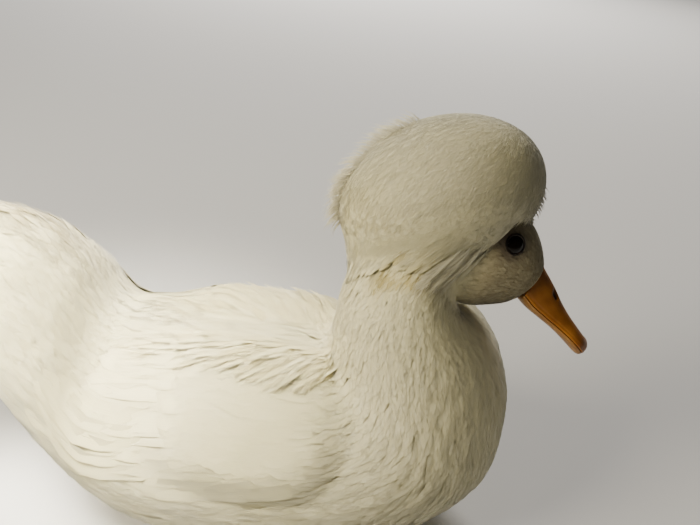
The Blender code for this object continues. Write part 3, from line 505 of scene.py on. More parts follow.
def down_nodes(tree, shader):
    """Felted down: close soft grain over the coat's own tint."""
    grain = noise(tree, object_place(tree), 900.0, 3.0)
    tinted(tree, shader, ramp(tree, grain, ((0.3, (0.82, 0.80, 0.76)), (0.7, (1.0, 1.0, 1.0)))))
    bumpy(tree, shader, grain, 0.4, 0.0004)


def eye_nodes(tree, shader):
    """A near-black pupil in a very dark brown iris, under a wet surface."""
    grain = noise(tree, object_place(tree), 1500.0)
    colour = ramp(tree, grain, ((0.35, (0.004, 0.003, 0.002)), (0.70, (0.008, 0.005, 0.003))))
    tree.links.new(colour, shader.inputs["Base Color"])
    set_inputs(shader, Specular_IOR_Level=0.20)


def link_piece(name, mesh, finish):
    mesh.materials.append(finish)
    mesh.shade_smooth()
    made = bpy.data.objects.new(name, mesh)
    bpy.context.scene.collection.objects.link(made)
    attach(made, "root")
    return made


def mesh_piece(name, points, faces, finish):
    mesh = bpy.data.meshes.new(name)
    rows = faces.tolist() if isinstance(faces, np.ndarray) else faces
    mesh.from_pydata(np.asarray(points).tolist(), [], rows)
    mesh.update()
    return link_piece(name, mesh, finish)


def mend(made):
    """Drops points that no face uses, and turns every face outwards."""
    edit = bmesh.new()
    edit.from_mesh(made.data)
    bmesh.ops.delete(edit, geom=[point for point in edit.verts if not point.link_faces], context="VERTS")
    bmesh.ops.recalc_face_normals(edit, faces=edit.faces)
    edit.to_mesh(made.data)
    edit.free()


def quad_order(quad, flip):
    return (quad[0], *quad[:0:-1]) if flip else quad


def ring_faces(rows, around, start=0, flip=False):
    """Quads from each closed ring of points to the next one."""
    faces = []
    for i in range(rows - 1):
        near, far = start + i * around, start + (i + 1) * around
        for j in range(around):
            k = (j + 1) % around
            faces.append(quad_order((near + j, far + j, far + k, near + k), flip))
    return faces


def ring_corners(grid, flip=False):
    """Map places for the same quads, from a grid with one column more than the rings have points."""
    corners = []
    for i in range(grid.shape[0] - 1):
        for j in range(grid.shape[1] - 1):
            quad = (grid[i, j], grid[i + 1, j], grid[i + 1, j + 1], grid[i, j + 1])
            corners.append(quad_order(quad, flip))
    return corners


def put_corners(mesh, corners):
    """The bake map of a mesh whose map has a seam, given for the corners of each face."""
    layer = mesh.uv_layers.new(name="OFBake")
    layer.data.foreach_set("uv", np.concatenate(corners).astype(np.float32).ravel())


def stack_rows(rows):
    """Turns a list of points and normals, one pair for each step, into two arrays by feather and step."""
    return tuple(np.stack(values, axis=1) for values in zip(*rows))


def put_uv(mesh, name, per_point):
    loops = np.empty(len(mesh.loops), np.int32)
    mesh.loops.foreach_get("vertex_index", loops)
    layer = mesh.uv_layers.new(name=name)
    layer.data.foreach_set("uv", np.asarray(per_point, np.float32)[loops].ravel())


def put_tint(mesh, colours):
    layer = mesh.attributes.new("tint", "FLOAT_COLOR", "POINT")
    rgba = np.concatenate([colours, np.ones((len(colours), 1))], axis=1).astype(np.float32)
    layer.data.foreach_set("color", rgba.ravel())


class Coat:
    """Feathers gathered for one piece: closed vanes, each with a fringe of loose barbs."""

    def __init__(self):
        self.points, self.faces, self.normals, self.bake, self.vane, self.tints = [], [], [], [], [], []
        self.count = 0

    def add(self, points, faces, normals, bake, vane, tints):
        """points is (feathers, points, 3), and faces are the triangles of one feather."""
        feathers, each = points.shape[:2]
        offsets = (np.arange(feathers) * each)[:, None, None] + self.count
        self.points.append(points.reshape(-1, 3))
        self.faces.append((faces[None] + offsets).reshape(-1, 3))
        self.normals.append(normals.reshape(-1, 3))
        self.bake.append(bake.reshape(-1, 2))
        self.vane.append(vane.reshape(-1, 2))
        self.tints.append(tints.reshape(-1, 3))
        self.count += feathers * each

    def add_barbs(self, points, faces, normals, bake, vane, tints):
        """points is (barbs, points, 3), with one normal, one place on each map and one tint for a barb."""
        each = points.shape[1]
        rows = [np.repeat(row[:, None], each, axis=1) for row in (normals, bake, vane, tints)]
        self.add(points, faces, *rows)

    def build(self, name, finish, slot):
        points = np.concatenate(self.points)
        points[:, 2] = np.maximum(points[:, 2], FLOOR_CLEAR)
        made = mesh_piece(name, points, np.concatenate(self.faces), finish)
        made.data.normals_split_custom_set_from_vertices(np.concatenate(self.normals).tolist())
        put_uv(made.data, "OFBake", np.concatenate(self.bake))
        put_uv(made.data, "Vane", np.concatenate(self.vane))
        put_tint(made.data, np.concatenate(self.tints))
        return made


def vane_faces(rings):
    """Triangles of a lens-shaped vane: rings of four points, then one point at the tip.

    The upper and lower faces are cut along the same diagonal, so that a bent vane keeps its thickness."""
    faces = [(0, 2, 1), (0, 3, 2)]
    for i in range(rings - 1):
        for j in range(4):
            a, b, c, d = 4 * i + j, 4 * i + (j + 1) % 4, 4 * i + 4 + j, 4 * i + 4 + (j + 1) % 4
            faces += [(a, b, c), (b, d, c)] if j < 2 else [(a, b, d), (a, d, c)]
    last = 4 * (rings - 1)
    faces += [(last + j, last + (j + 1) % 4, 4 * rings) for j in range(4)]
    return np.array(faces)


BARB_FACES = np.array([(0, 1, 2), (0, 3, 1), (1, 3, 2), (2, 3, 0)])
WISP_FACES = np.array(
    [(0, 2, 1), (0, 1, 3), (1, 4, 3), (1, 2, 4), (2, 5, 4), (2, 0, 5), (0, 3, 5)]
    + [(3, 4, 6), (4, 5, 6), (5, 3, 6)]
)


def grow(coat, rng, paths, normals, widths, shares, outline, roots, tints, thickness=VANE_THICKNESS, barbs=8,
         reach=0.16, cup=CUP):
    """Adds feathers along paths (feathers, rings + 1, 3), wide across the normals there.

    shares are the rings' places along the feather, and outline the width at each. roots are the
    feathers' places on the coat's unwrap. The shading follows the coat's own round form, so that
    feathers laid flush read as one soft surface with fine edges."""
    count, steps = paths.shape[:2]
    forward = np.gradient(paths, axis=1)
    side = unit(np.cross(normals, paths[:, -1:] - paths[:, :1]))
    out = unit(np.cross(forward, side))
    out = out * np.where((out * normals).sum(axis=2, keepdims=True) < 0, -1.0, 1.0)
    half = widths[:, None, None] / 2 * np.asarray(outline)[None, :, None]
    middle, across, up = paths[:, :-1], side[:, :-1], out[:, :-1]
    deep = thickness / 2 * np.linspace(1.0, 0.55, steps - 1)[None, :, None]
    twist = rng.uniform(-0.03, 0.03, (count, 1, 1))
    left = middle + across * half - up * half * (cup - twist)
    right = middle - across * half - up * half * (cup + twist)
    rings = np.stack([left, middle + up * deep, right, middle - up * deep], axis=2).reshape(count, -1, 3)
    points = np.concatenate([rings, paths[:, -1:]], axis=1)
    face = unit(0.88 * normals + 0.12 * out)
    sides = np.stack([face, face, face, -face], axis=2)[:, :-1].reshape(count, -1, 3)
    face_normals = np.concatenate([sides, face[:, -1:]], axis=1)
    vane_x = np.tile(np.array([-1.0, 0.0, 1.0, 0.0]), (steps - 1, 1)) * np.asarray(outline)[:, None]
    vane_y = np.append(np.repeat(shares[:-1], 4), shares[-1])
    vane = np.stack([np.append(vane_x.ravel(), 0.0), vane_y], axis=1)
    shift = rng.uniform(0, 40, (count, 1, 2))
    bake = roots[:, None] + vane[None] * (0.0014, 0.0028) - (0.0, 0.0014)
    shades = np.repeat(tints[:, None], points.shape[1], axis=1)
    coat.add(points, vane_faces(steps - 1), face_normals, bake, vane[None] + shift, shades)
    if barbs:
        fringe(coat, rng, paths, side, out, face, half[:, :, 0], shares, barbs, reach, roots, tints, shift)


def along_paths(paths, shares, place):
    """The point at a share of each path, and the ring before it."""
    k = np.clip(np.searchsorted(shares, place, side="right") - 1, 0, len(shares) - 2)
    rest = ((place - shares[k]) / (shares[k + 1] - shares[k]))[:, None]
    rows = np.arange(len(paths))
    return paths[rows, k] * (1 - rest) + paths[rows, k + 1] * rest, k


def fringe(coat, rng, paths, side, out, face, half, shares, barbs, reach, roots, tints, shift):
    """Loose barbs that leave a vane's edge near its tip, so that no feather ends in a hard line."""
    count = len(paths)
    rows = np.arange(count)
    length = np.linalg.norm(paths[:, -1] - paths[:, 0], axis=1)
    thick = 0.00009
    for i in range(barbs):
        hand = 1.0 if i % 2 else -1.0
        place = np.clip(0.50 + 0.48 * (i // 2 + rng.uniform(0.0, 1.0, count)) / max(barbs / 2, 1), 0, 0.975)
        at, k = along_paths(paths, shares, place)
        edge = half[rows, np.minimum(k, half.shape[1] - 1)] * np.clip((1.02 - place) * 3.6, 0.12, 1.0)
        across, up, flat = side[rows, k], out[rows, k], face[rows, k]
        forward = unit(paths[rows, k + 1] - paths[rows, k])
        root = at + across * (hand * edge * 0.70)[:, None]
        long = length * reach * rng.uniform(0.6, 1.3, count)
        splay = rng.uniform(0.05, 0.38, count) * hand
        lift = rng.normal(0.0, 0.025, count)
        tip = root + (forward + across * splay[:, None] + up * lift[:, None]) * long[:, None]
        broad = across * 2.2 * thick
        points = np.stack([root + broad, root - broad, root + up * thick, tip], axis=1)
        coat.add_barbs(points, BARB_FACES, flat, roots, shift[:, 0] + 0.5, tints)


def straight_strands(coat, starts, ends, normals, thickness, roots, tints):
    """Single thin barbs from each start to its end, for places where they are too short to bend."""
    forward = unit(ends - starts)
    side = unit(np.cross(normals, forward)) * thickness
    up = np.cross(forward, side)
    points = np.stack([starts + side * 1.3, starts - side * 1.3, starts + up, ends], axis=1)
    coat.add_barbs(points, BARB_FACES, normals, roots, roots * 0 + 0.5, tints)


def strands(coat, rings, normals, thickness, roots, tints):
    """Single thin barbs through three points each: rings are (barbs, 3, 3)."""
    forward = unit(np.gradient(rings, axis=1))
    side = unit(np.cross(normals[:, None], forward))
    up = np.cross(forward, side)
    points = []
    for i, size in ((0, 1.0), (1, 0.7)):
        for angle in (0.5, 2.6, 4.7):
            offset = side[:, i] * math.cos(angle) + up[:, i] * math.sin(angle)
            points.append(rings[:, i] + offset * thickness * size)
    points = np.stack(points + [rings[:, 2]], axis=1)
    coat.add_barbs(points, WISP_FACES, normals, roots, roots * 0 + 0.5, tints)


def wisps(coat, starts, ways, bends, normals, lengths, thickness, roots, tints):
    """Loose barbs that curve: each starts along its way and bends over towards its bend."""
    rings = [starts + (ways * share + bends * share * share) * lengths[:, None] for share in BARB_SHARES]
    strands(coat, np.stack(rings, axis=1), normals, thickness, roots, tints)


def body_unwrap(u, v):
    """The skin's unwrap: its length up the image, and the way round it across."""
    around = (np.asarray(v) + math.pi) % (2 * math.pi) / (2 * math.pi)
    return np.stack([0.02 + 0.80 * around, 0.02 + 0.96 * np.asarray(u) / BODY_END], axis=-1)


def sprinkle(rng, first, last, spacing_of, tries_each, keep=None):
    """Random places on the body, some number for each square of the given spacing."""
    us = np.linspace(first, last, max(int((last - first) * 24), 8))
    vs = np.linspace(-math.pi, math.pi, 145)
    u, v = np.meshgrid((us[1:] + us[:-1]) / 2, (vs[1:] + vs[:-1]) / 2, indexing="ij")
    along, round_it, _ = body_tangents(u, v)
    area = np.linalg.norm(np.cross(along, round_it), axis=-1) * (us[1] - us[0]) * (vs[1] - vs[0])
    weight = (area / spacing_of(u) ** 2).ravel()
    tries = int(weight.sum() * tries_each)
    picked = rng.choice(len(weight), size=tries, p=weight / weight.sum())
    u = u.ravel()[picked] + rng.uniform(-0.5, 0.5, tries) * (us[1] - us[0])
    v = v.ravel()[picked] + rng.uniform(-0.5, 0.5, tries) * (vs[1] - vs[0])
    u = np.clip(u, first, last)
    if keep is not None:
        kept = keep(u, v)
        u, v = u[kept], v[kept]
    return u, v


def scatter(rng, first, last, spacing_of, keep=None):
    """Places on the body from one station to another, evenly spread at a spacing that changes along it."""
    u, v = sprinkle(rng, first, last, spacing_of, 5, keep)
    chosen = thin_out(body_point(u, v), spacing_of(u) * 0.82)
    return u[chosen], v[chosen]


def thin_out(points, spacing):
    """Keeps each point only where no kept one lies nearer than its spacing."""
    cell = float(np.max(spacing))
    grid, chosen = {}, []
    cells = np.floor(points / cell).astype(int)
    for i, (x, y, z) in enumerate(cells.tolist()):
        limit, clash = spacing[i] ** 2, False
        for dx in (-1, 0, 1):
            for dy in (-1, 0, 1):
                for dz in (-1, 0, 1):
                    for j in grid.get((x + dx, y + dy, z + dz), ()):
                        d = points[i] - points[j]
                        if d[0] * d[0] + d[1] * d[1] + d[2] * d[2] < limit:
                            clash = True
                            break
        if not clash:
            chosen.append(i)
            grid.setdefault((x, y, z), []).append(i)
    return np.array(chosen)


BODY_SHARES = np.array((0.0, 0.30, 0.62, 0.87, 1.0))
BODY_OUTLINE = np.array((0.50, 0.96, 0.92, 0.50))
BARB_SHARES = (0.0, 0.5, 1.0)


def base_tint(rng, points, unlike=0.10):
    """Cream to ivory in broad soft drifts, with little difference from feather to feather."""
    drift = 0.5 + 0.5 * np.sin(points[:, 0] * 61 + 2.0 * np.sin(points[:, 1] * 47) + points[:, 2] * 39)
    tone = np.clip(0.25 + 0.5 * drift + rng.normal(0.0, unlike, len(points)), 0, 1)[:, None]
    return np.array(CREAM) * (1 - tone) + np.array(IVORY) * tone


# How far round the neck the globe's hanging feathers go, and where the pit under them is, in degrees.
NAPE_END = 118
PIT_ANGLE = 41
NAPE_VANES = 1500
NAPE_WIDTH = 0.0036
NAPE_BARBS = 6400
NAPE_EYE_GAP = 0.0125
CHEEK_RISE = 0.0058
CHEEK_WIDTH = 0.0017

# Where the globe's lowest feathers end: degrees round the neck from the nape, and stations.
CREASE = ((0, 30, 45, 60, 80, 100, 120), (12.1, 12.9, 13.3, 13.6, 14.1, 14.6, 15.4))

# How strong the plumage's markings and its painted shade are, from 0 to 1.
DUSKY_SHARE = 0.92
SCAPULAR_SHADE = 0.40
CREASE_SHARE = 0.75
FACE_SHARE = 0.74
EYE_RING_SHARE = 0.95
# Where the rump's darker feathers begin, along the duck and over the floor.
DUSKY_FROM = (-0.080, 0.150)
# How far from the eye's middle the dark ring is full, and over how much more it fades.
EYE_RING = (0.0048, 0.0098)

# Small marks and patches of painted shade on the coat: station, angle, reach in both, strength and colour.
MARKS_AND_SHADE = (
    (13.22, -40.0, 0.26, 9.0, 0.85, OLIVE),
    (13.22, 40.0, 0.26, 9.0, 0.60, OLIVE),
    # Painted shade in the gaps behind each cheek's tufts.
    (14.70, -94.0, 0.75, 7.0, 0.55, SHADED),
    (14.70, 94.0, 0.75, 7.0, 0.55, SHADED),
    (12.15, -54.0, 0.04, 1.8, 0.75, SHADED),
    (4.75, -20.0, 0.05, 1.4, 0.75, SHADED),
    (4.88, -16.0, 0.05, 1.2, 0.70, SHADED),
    # Painted shade along the fold between the rump's mound and the flank.
    (5.15, -25.0, 0.35, 9.0, 0.45, FOLD_SHADE),
    (4.75, -42.0, 0.30, 12.0, 0.35, FOLD_SHADE),
)


def coat_tint(rng, points, u, v):
    """The plumage's colour by place: cream, darker mottled rump feathers, and painted shade on the face and in
    creases.
    """
    colour = base_tint(rng, points)
    colour = mixed(colour, DUSKY, DUSKY_SHARE * dusky_rump(points))
    colour = mixed(colour, SHADED, SCAPULAR_SHADE * scapular_shadow(u, v, points))
    round_neck = np.degrees(np.abs(v))
    # A yellow line under the globe's lower edge: partly staining, partly painted shade under its lip.
    line = hump(u, np.interp(round_neck, *CREASE) - 0.10, 0.16) * smooth_step((round_neck - 30) / 10)
    colour = mixed(colour, STAIN, CREASE_SHARE * line * smooth_step((88 - round_neck) / 8))
    # The face is darkened: mostly painted shade, with some soiling of its feathers.
    face = smooth_step((u - HEAD_START - 0.2) / 2.0)
    colour = mixed(colour, FACE_SHADE_AND_GRIME, FACE_SHARE * face * rng.uniform(0.80, 1.1, len(points)))
    # The ring round each eye: partly stained feathers, partly painted shade.
    ring = eye_ring(points) * (u > HEAD_START - 1)
    colour = mixed(colour, SHADED, EYE_RING_SHARE * ring * rng.uniform(0.85, 1.0, len(points)))
    for at_u, at_v, reach_u, reach_v, share, mark_colour in MARKS_AND_SHADE:
        blot = np.exp(-(((u - at_u) / reach_u) ** 2) - ((np.degrees(v) - at_v) / reach_v) ** 2)
        colour = mixed(colour, mark_colour, share * blot)
    return colour


def dusky_rump(points):
    """Darker, mottled feathers over the rump's far side."""
    start, height = DUSKY_FROM
    rump = smooth_step((points[:, 2] - height) / 0.03) * smooth_step((start - points[:, 0]) / 0.03)
    far = smooth_step((points[:, 1] + 0.012) / 0.030)
    spots = smooth_step((np.sin(points[:, 0] * 410 + 3 * np.sin(points[:, 1] * 300)) + 0.1) / 0.9)
    return rump * far * (0.30 + 0.70 * spots)


def eye_ring(points):
    """The darkened feathers round each eye, partly stained and partly painted shade, which reach further behind
    it than before it.
    """
    local = in_head(points)
    ahead = local[:, 0] - EYE_CENTRE[0] + 0.0010
    off = np.hypot(np.where(ahead < 0, ahead * 0.78, ahead), local[:, 2] - EYE_CENTRE[2])
    dark, fade = EYE_RING
    return (1 - smooth_step((off - dark) / fade)) ** 1.3


def scapular_shadow(u, v, points):
    """Where the covert feathers lie in the shade of the scapulars' tips."""
    drop = flank_drop(points, v)
    line = np.interp(points[:, 0], (-0.072, -0.034, 0.019, 0.030), (0.018, 0.023, 0.032, 0.036))
    along = smooth_step((points[:, 0] + 0.062) / 0.02) * smooth_step((0.034 - points[:, 0]) / 0.01)
    return hump(drop, line, 0.0034) * along * (np.asarray(u) < NECK_START)


def hump(x, middle, reach):
    """1 at the middle, falling smoothly to nothing a little beyond its reach."""
    return np.exp(-(((x - middle) / reach) ** 2))


def mixed(colour, other, share):
    share = np.asarray(share)[:, None]
    return colour * (1 - share) + np.array(other) * share


def feather_paths(u, v, length, turn, sink, lift):
    """Paths that follow the body backwards from their roots, from under the coat out to its surface."""
    along, round_it, _ = body_tangents(u, v)
    back = -np.cos(turn) / np.linalg.norm(along, axis=1)
    aside = np.sin(turn) / np.linalg.norm(round_it, axis=1)
    rows = []
    for share in BODY_SHARES:
        su, sv = u + back * length * share, v + aside * length * share
        inside = np.clip(su, 0.03, BODY_END - 0.03)
        tangent, _, _ = body_tangents(inside, sv)
        point = outer_point(inside, sv) + tangent * (su - inside)[:, None]
        normal = outer_normal(inside, sv)
        off = -sink * (0.30 * (1 - share) + 0.62 * (1 - share) ** 4) + lift * share
        rows.append((point + normal * off[:, None], normal))
    return stack_rows(rows)


def body_coat(name, seed, first, last, finish, slot, keep=None, barbs=8, finer=1.0, thickness=VANE_THICKNESS):
    rng = np.random.default_rng(seed)
    u, v = scatter(rng, first, last, lambda s: plumage(s, 3) * finer, keep)
    length = plumage(u, 1) * rng.uniform(0.85, 1.15, len(u))
    width = plumage(u, 2) * rng.uniform(0.85, 1.15, len(u))
    turn = rng.normal(0.0, 0.11, len(u)) + 0.10 * np.sin(u * 2.3 + 2 * np.cos(v * 3))
    sink = plumage(u, 4)
    lift = sink * (rng.uniform(0.0, 0.08, len(u)) + 0.75 * ruffled(u, v) * rng.uniform(0, 1, len(u)) ** 2)
    turn = turn + ruffled(u, v) * rng.normal(0.0, 0.35, len(u))
    paths, normals = feather_paths(u, v, length, turn, sink, lift)
    for _ in range(3):
        over = (off_eyes(paths).min(axis=1) < EYE_RADIUS + EYE_GAP) & (u > HEAD_START)
        length = np.where(over, length * 0.6, length)
        paths, normals = feather_paths(u, v, length, turn, sink, lift)
    tints = coat_tint(rng, paths[:, 2], u, v)
    coat = Coat()
    roots = body_unwrap(u, v)
    grow(coat, rng, paths, normals, width, BODY_SHARES, BODY_OUTLINE, roots, tints, thickness, barbs)
    coat.build(name, finish, slot)


def make_fine_barbs(name, seed, first, last, tries_each, long, thickness, finish, keep):
    """Fine barbs that lie flush over the vanes, along their lie, so that the plumage looks soft."""
    rng = np.random.default_rng(seed)
    u, v = sprinkle(rng, first, last, lambda s: plumage(s, 3), tries_each, keep)
    along, round_it, _ = body_tangents(u, v)
    turn = rng.normal(0.0, 0.22, len(u)) + 0.10 * np.sin(u * 2.3 + 2 * np.cos(v * 3))
    length = plumage(u, 1) * long * rng.uniform(0.7, 1.3, len(u))
    back = -np.cos(turn) / np.linalg.norm(along, axis=1)
    aside = np.sin(turn) / np.linalg.norm(round_it, axis=1)
    lift = rng.uniform(-0.00012, 0.00012, len(u))
    rings = []
    for share in BARB_SHARES:
        su = np.clip(u + back * length * share, 0.03, BODY_END - 0.03)
        sv = v + aside * length * share
        off = lift * share + 0.0003 * smooth_step(share / 0.5) - 0.0002 + 0.00008 * smooth_step((u - 10) / 2)
        rings.append(outer_point(su, sv) + outer_normal(su, sv) * off[:, None])
    tints = coat_tint(rng, rings[1], u, v) * rng.uniform(0.92, 1.05, (len(u), 1))
    coat = Coat()
    if first > HEAD_START:
        straight_strands(coat, rings[0], rings[2], outer_normal(u, v), thickness, body_unwrap(u, v), tints)
    else:
        strands(coat, np.stack(rings, axis=1), outer_normal(u, v), thickness, body_unwrap(u, v), tints)
    coat.build(name, finish, "wing_plumage" if name.startswith("wing") else "plumage")


def tuft_frame(u, v, sink):
    """Roots a little under the plumage's surface, and the directions out of it, backwards and aside."""
    along, _, _ = body_tangents(u, v)
    normal, back = outer_normal(u, v), -unit(along)
    return outer_point(u, v) - normal * sink, normal, back, np.cross(normal, back)


def bowed_wisps(coat, frame, splay, lean, bow, lengths, thickness, roots, tints):
    """One barb of each tuft, which leaves the coat at a slant and curves back towards it."""
    start, normal, back, side = frame
    splay, lean = splay[:, None], lean[:, None]
    way = unit(back + side * splay + normal * lean)
    bend = back * 0.30 - normal * lean * bow[0] - side * splay * bow[1]
    wisps(coat, start, way, bend, normal, lengths, thickness, roots, tints)


def make_fluff(finish):
    """Loose down barbs that stand a little off the plumage and soften its outline."""
    rng = np.random.default_rng(75)
    u, v = scatter(rng, 0.2, 14.2, lambda s: plumage(s, 3) * 1.60, bare_under_crest)
    frame = tuft_frame(u, v, 0.0004)
    roots, tints = body_unwrap(u, v), coat_tint(rng, frame[0], u, v)
    long = plumage(u, 1) * rng.uniform(0.25, 0.48, len(u))
    heading = rng.normal(0.0, 0.30, len(u))
    lean = rng.uniform(0.10, 0.42, len(u)) * (1 + 1.6 * ruffled(u, v))
    coat = Coat()
    for i in range(2):
        splay, length = heading + 0.16 * (i - 0.5), long * (1 - 0.1 * i)
        bowed_wisps(coat, frame, splay, lean, (0.7, 0.6), length, 0.00008, roots, tints)
    coat.build("loose_down", finish, "plumage")


def make_rump_tufts(finish):
    """Tufts that stand loose from the far side of the rump and from the valley before it."""
    rng = np.random.default_rng(76)
    u, v = scatter(rng, 0.3, 5.8, lambda s: plumage(s, 3) * 0.75, lambda u, v: ruffled(u, v) > 0.35)
    start, normal, back, side = tuft_frame(u, v, 0.0006)
    roots, tints = body_unwrap(u, v), coat_tint(rng, start, u, v)
    tints = mixed(tints, DUSKY, rng.uniform(0.0, 0.5, len(u)))
    long = 0.011 * rng.uniform(0.6, 1.3, len(u))
    heading, lean = rng.normal(0.0, 0.25, len(u)), rng.uniform(0.15, 0.65, len(u))
    coat = Coat()
    for i in range(6):
        frame = (start + side * 0.0003 * (i - 2.5), normal, back, side)
        splay, length = heading + 0.14 * (i - 2.5), long * rng.uniform(0.7, 1.0, len(u))
        bowed_wisps(coat, frame, splay, lean, (0.6, 0.5), length, 0.00011, roots, tints)
    coat.build("rump_tufts", finish, "plumage")


def ruffled(u, v):
    """Where the plumage stands loose: the far side of the rump, and a tuft where the back meets it."""
    rump = smooth_step((4.0 - u) / 1.2) * smooth_step((v + 0.25) / 0.35) * smooth_step((1.5 - v) / 0.4)
    tuft = np.exp(-(((u - 5.0) / 0.55) ** 2) - ((v - 0.25) / 0.30) ** 2)
    return np.maximum(rump, tuft)


def make_skin(finish):
    """One skin from the tail's root to the bill's, inside the plumage, with the shanks joined to it."""
    stations = np.linspace(0.0, BODY_END, BODY_END * SKIN_STEPS + 1)
    angles = np.arange(SKIN_AROUND + 1) * 2 * math.pi / SKIN_AROUND - math.pi
    u, v = np.meshgrid(stations, angles, indexing="ij")
    _, _, normal = body_tangents(u, v)
    out = wing_rise(u, v) * SKIN_DEPTH - plumage(u, 4) * SKIN_DEPTH
    points = body_point(u, v) + normal * out[..., None]
    points[..., 2] = np.maximum(points[..., 2], SKIN_CLEAR)
    rows, flat, grid = len(stations), points[:, :-1].reshape(-1, 3), body_unwrap(u, v)
    grid[:, -1, 0] = 0.82
    faces, corners = ring_faces(rows, SKIN_AROUND), ring_corners(grid)
    faces.append(tuple(range(SKIN_AROUND)))
    faces.append(tuple(reversed(range((rows - 1) * SKIN_AROUND, rows * SKIN_AROUND))))
    corners += [grid[0, :-1], grid[-1, -2::-1]]
    rng = np.random.default_rng(31)
    tints = [coat_tint(rng, flat, u[:, :-1].ravel(), v[:, :-1].ravel())]
    for leg, (_, sign) in enumerate(SIDES):
        rings, grid = leg_rings(sign, leg)
        start, turn = len(flat), int(sign)
        rows, around = rings.shape[:2]
        flat = np.concatenate([flat, rings.reshape(-1, 3)])
        tints.append(base_tint(rng, rings.reshape(-1, 3)))
        faces += [face[::turn] for face in ring_faces(rows, around, start, True)]
        corners += [quad[::turn] for quad in ring_corners(grid, True)]
        for row, way in ((0, -turn), (rows - 1, turn)):
            first = start + row * around
            faces.append(tuple(range(first, first + around))[::way])
            corners.append(grid[row, :-1][::way])
    skin = mesh_piece("skin", flat, faces, finish)
    put_corners(skin.data, corners)
    put_tint(skin.data, np.concatenate(tints))
    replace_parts(skin, "torso", "neck", "head", "leg_left", "leg_right")


def leg_axis(share, sign):
    top = np.array((SHANK_TOP[0], sign * SHANK_TOP[1], SHANK_TOP[2]))
    ankle = np.array((ANKLE[0], sign * ANKLE[1], ANKLE[2] + 0.002))
    share = np.asarray(share)[..., None]
    return top * (1 - share) + ankle * share


def leg_radius(share):
    return profile(share, (0.0, 0.4, 0.7, 0.9, 1.0), (0.0150, 0.0135, 0.0110, 0.0082, 0.0064))


def leg_point(share, angle, sign, inset=0.0):
    forward = unit(leg_axis(1.0, sign) - leg_axis(0.0, sign))
    side = unit(np.cross((0, 0, 1), forward))
    up = np.cross(forward, side)
    way = side * np.cos(angle)[..., None] + up * np.sin(angle)[..., None]
    return leg_axis(share, sign) + way * (leg_radius(share) - inset)[..., None], way


def leg_unwrap(share, angle, leg):
    """The shanks' places on the skin's unwrap, beside the body's, one over the other."""
    return np.stack([0.85 + 0.12 * angle / (2 * math.pi), 0.05 + 0.40 * share + 0.45 * leg], axis=-1)


def leg_rings(sign, leg):
    share, angle = np.meshgrid(np.linspace(0, 1, 14), np.linspace(0, 2 * math.pi, 25), indexing="ij")
    points, _ = leg_point(share, angle, sign, 0.0016)
    points[..., 2] = np.maximum(points[..., 2], SKIN_CLEAR)
    return points[:, :-1], leg_unwrap(share, angle, leg)


def make_leg_coat(finish):
    """Short feathers down each shank to the ankle."""
    rng = np.random.default_rng(71)
    coat = Coat()
    for leg, (_, sign) in enumerate(SIDES):
        share, angle = rng.uniform(0.30, 0.97, 900), rng.uniform(0, 2 * math.pi, 900)
        points, _ = leg_point(share, angle, sign)
        chosen = thin_out(points, np.full(len(points), 0.0023))
        share, angle = share[chosen], angle[chosen]
        reach = np.linalg.norm(leg_axis(1.0, sign) - leg_axis(0.0, sign))
        length = 0.0075 - 0.004 * smooth_step((share - 0.6) / 0.4)
        rows = []
        for step in BODY_SHARES:
            at = np.minimum(share + length / reach * step, 1.0)
            rows.append(leg_point(at, angle, sign, 0.0012 * (1 - step)))
        paths, normals = stack_rows(rows)
        roots = leg_unwrap(share, angle, leg)
        tints = coat_tint(rng, paths[:, 2], np.full(len(share), 5.0), angle)
        grow(coat, rng, paths, normals, length * 0.42, BODY_SHARES, BODY_OUTLINE, roots, tints, barbs=4)
    coat.build("shank_feathers", finish, "plumage")


CREST_FRAME = HEAD @ Matrix.Translation(CREST_CENTRE) @ Matrix.Rotation(-CREST_LEAN, 4, "Y")


def dome_axes():
    """The parting on the crest's unit dome, and the ways ahead of it and to its left."""
    parting = np.array(Matrix.Rotation(CREST_LEAN, 3, "Y") @ Vector(CREST_PARTING).normalized())
    ahead = unit(np.cross((0, 1, 0), parting))
    return parting, ahead, np.cross(parting, ahead)


PARTING, AHEAD, ASIDE = dome_axes()
DOME = np.array(CREST_SIZE)


def dome_way(polar, around):
    """Directions on the crest's unit dome, at an angle from the parting and round it."""
    polar, around = np.asarray(polar)[..., None], np.asarray(around)[..., None]
    flat = AHEAD * np.cos(around) + ASIDE * np.sin(around)
    return PARTING * np.cos(polar) + flat * np.sin(polar)


def dome_angles(ways):
    """Angle from the parting and angle round it, of directions on the unit dome."""
    return np.arccos(np.clip(ways @ PARTING, -1, 1)), np.arctan2(ways @ ASIDE, ways @ AHEAD)


def in_dome(points):
    """Points in the unit dome's own frame, where the globe's surface is at 1."""
    return moved(CREST_FRAME.inverted(), points) / DOME


def dome_point(polar, around, reach):
    way = dome_way(polar, around)
    local = way * DOME * np.asarray(reach)[..., None]
    turn = np.array(CREST_FRAME)[:3, :3]
    return moved(CREST_FRAME, local), unit(way / DOME) @ turn.T


def crest_unwrap(polar, around):
    """A round map of the dome, with the parting in its middle."""
    reach = np.asarray(polar) / math.pi * 0.47
    return np.stack([0.5 + reach * np.cos(around), 0.5 + reach * np.sin(around)], axis=-1)


def body_tree():
    """The neck's and head's surface, for finding the nearest place on it."""
    rows, around = 120, 72
    stations = np.linspace(NECK_START - 2, BODY_END, rows)
    angles = np.arange(around) * 2 * math.pi / around
    rings = body_point(stations[:, None], angles[None])
    faces = [tuple(reversed(range(around))), tuple(range((rows - 1) * around, rows * around))]
    faces += ring_faces(rows, around)
    return BVHTree.FromPolygons(rings.reshape(-1, 3).tolist(), faces)


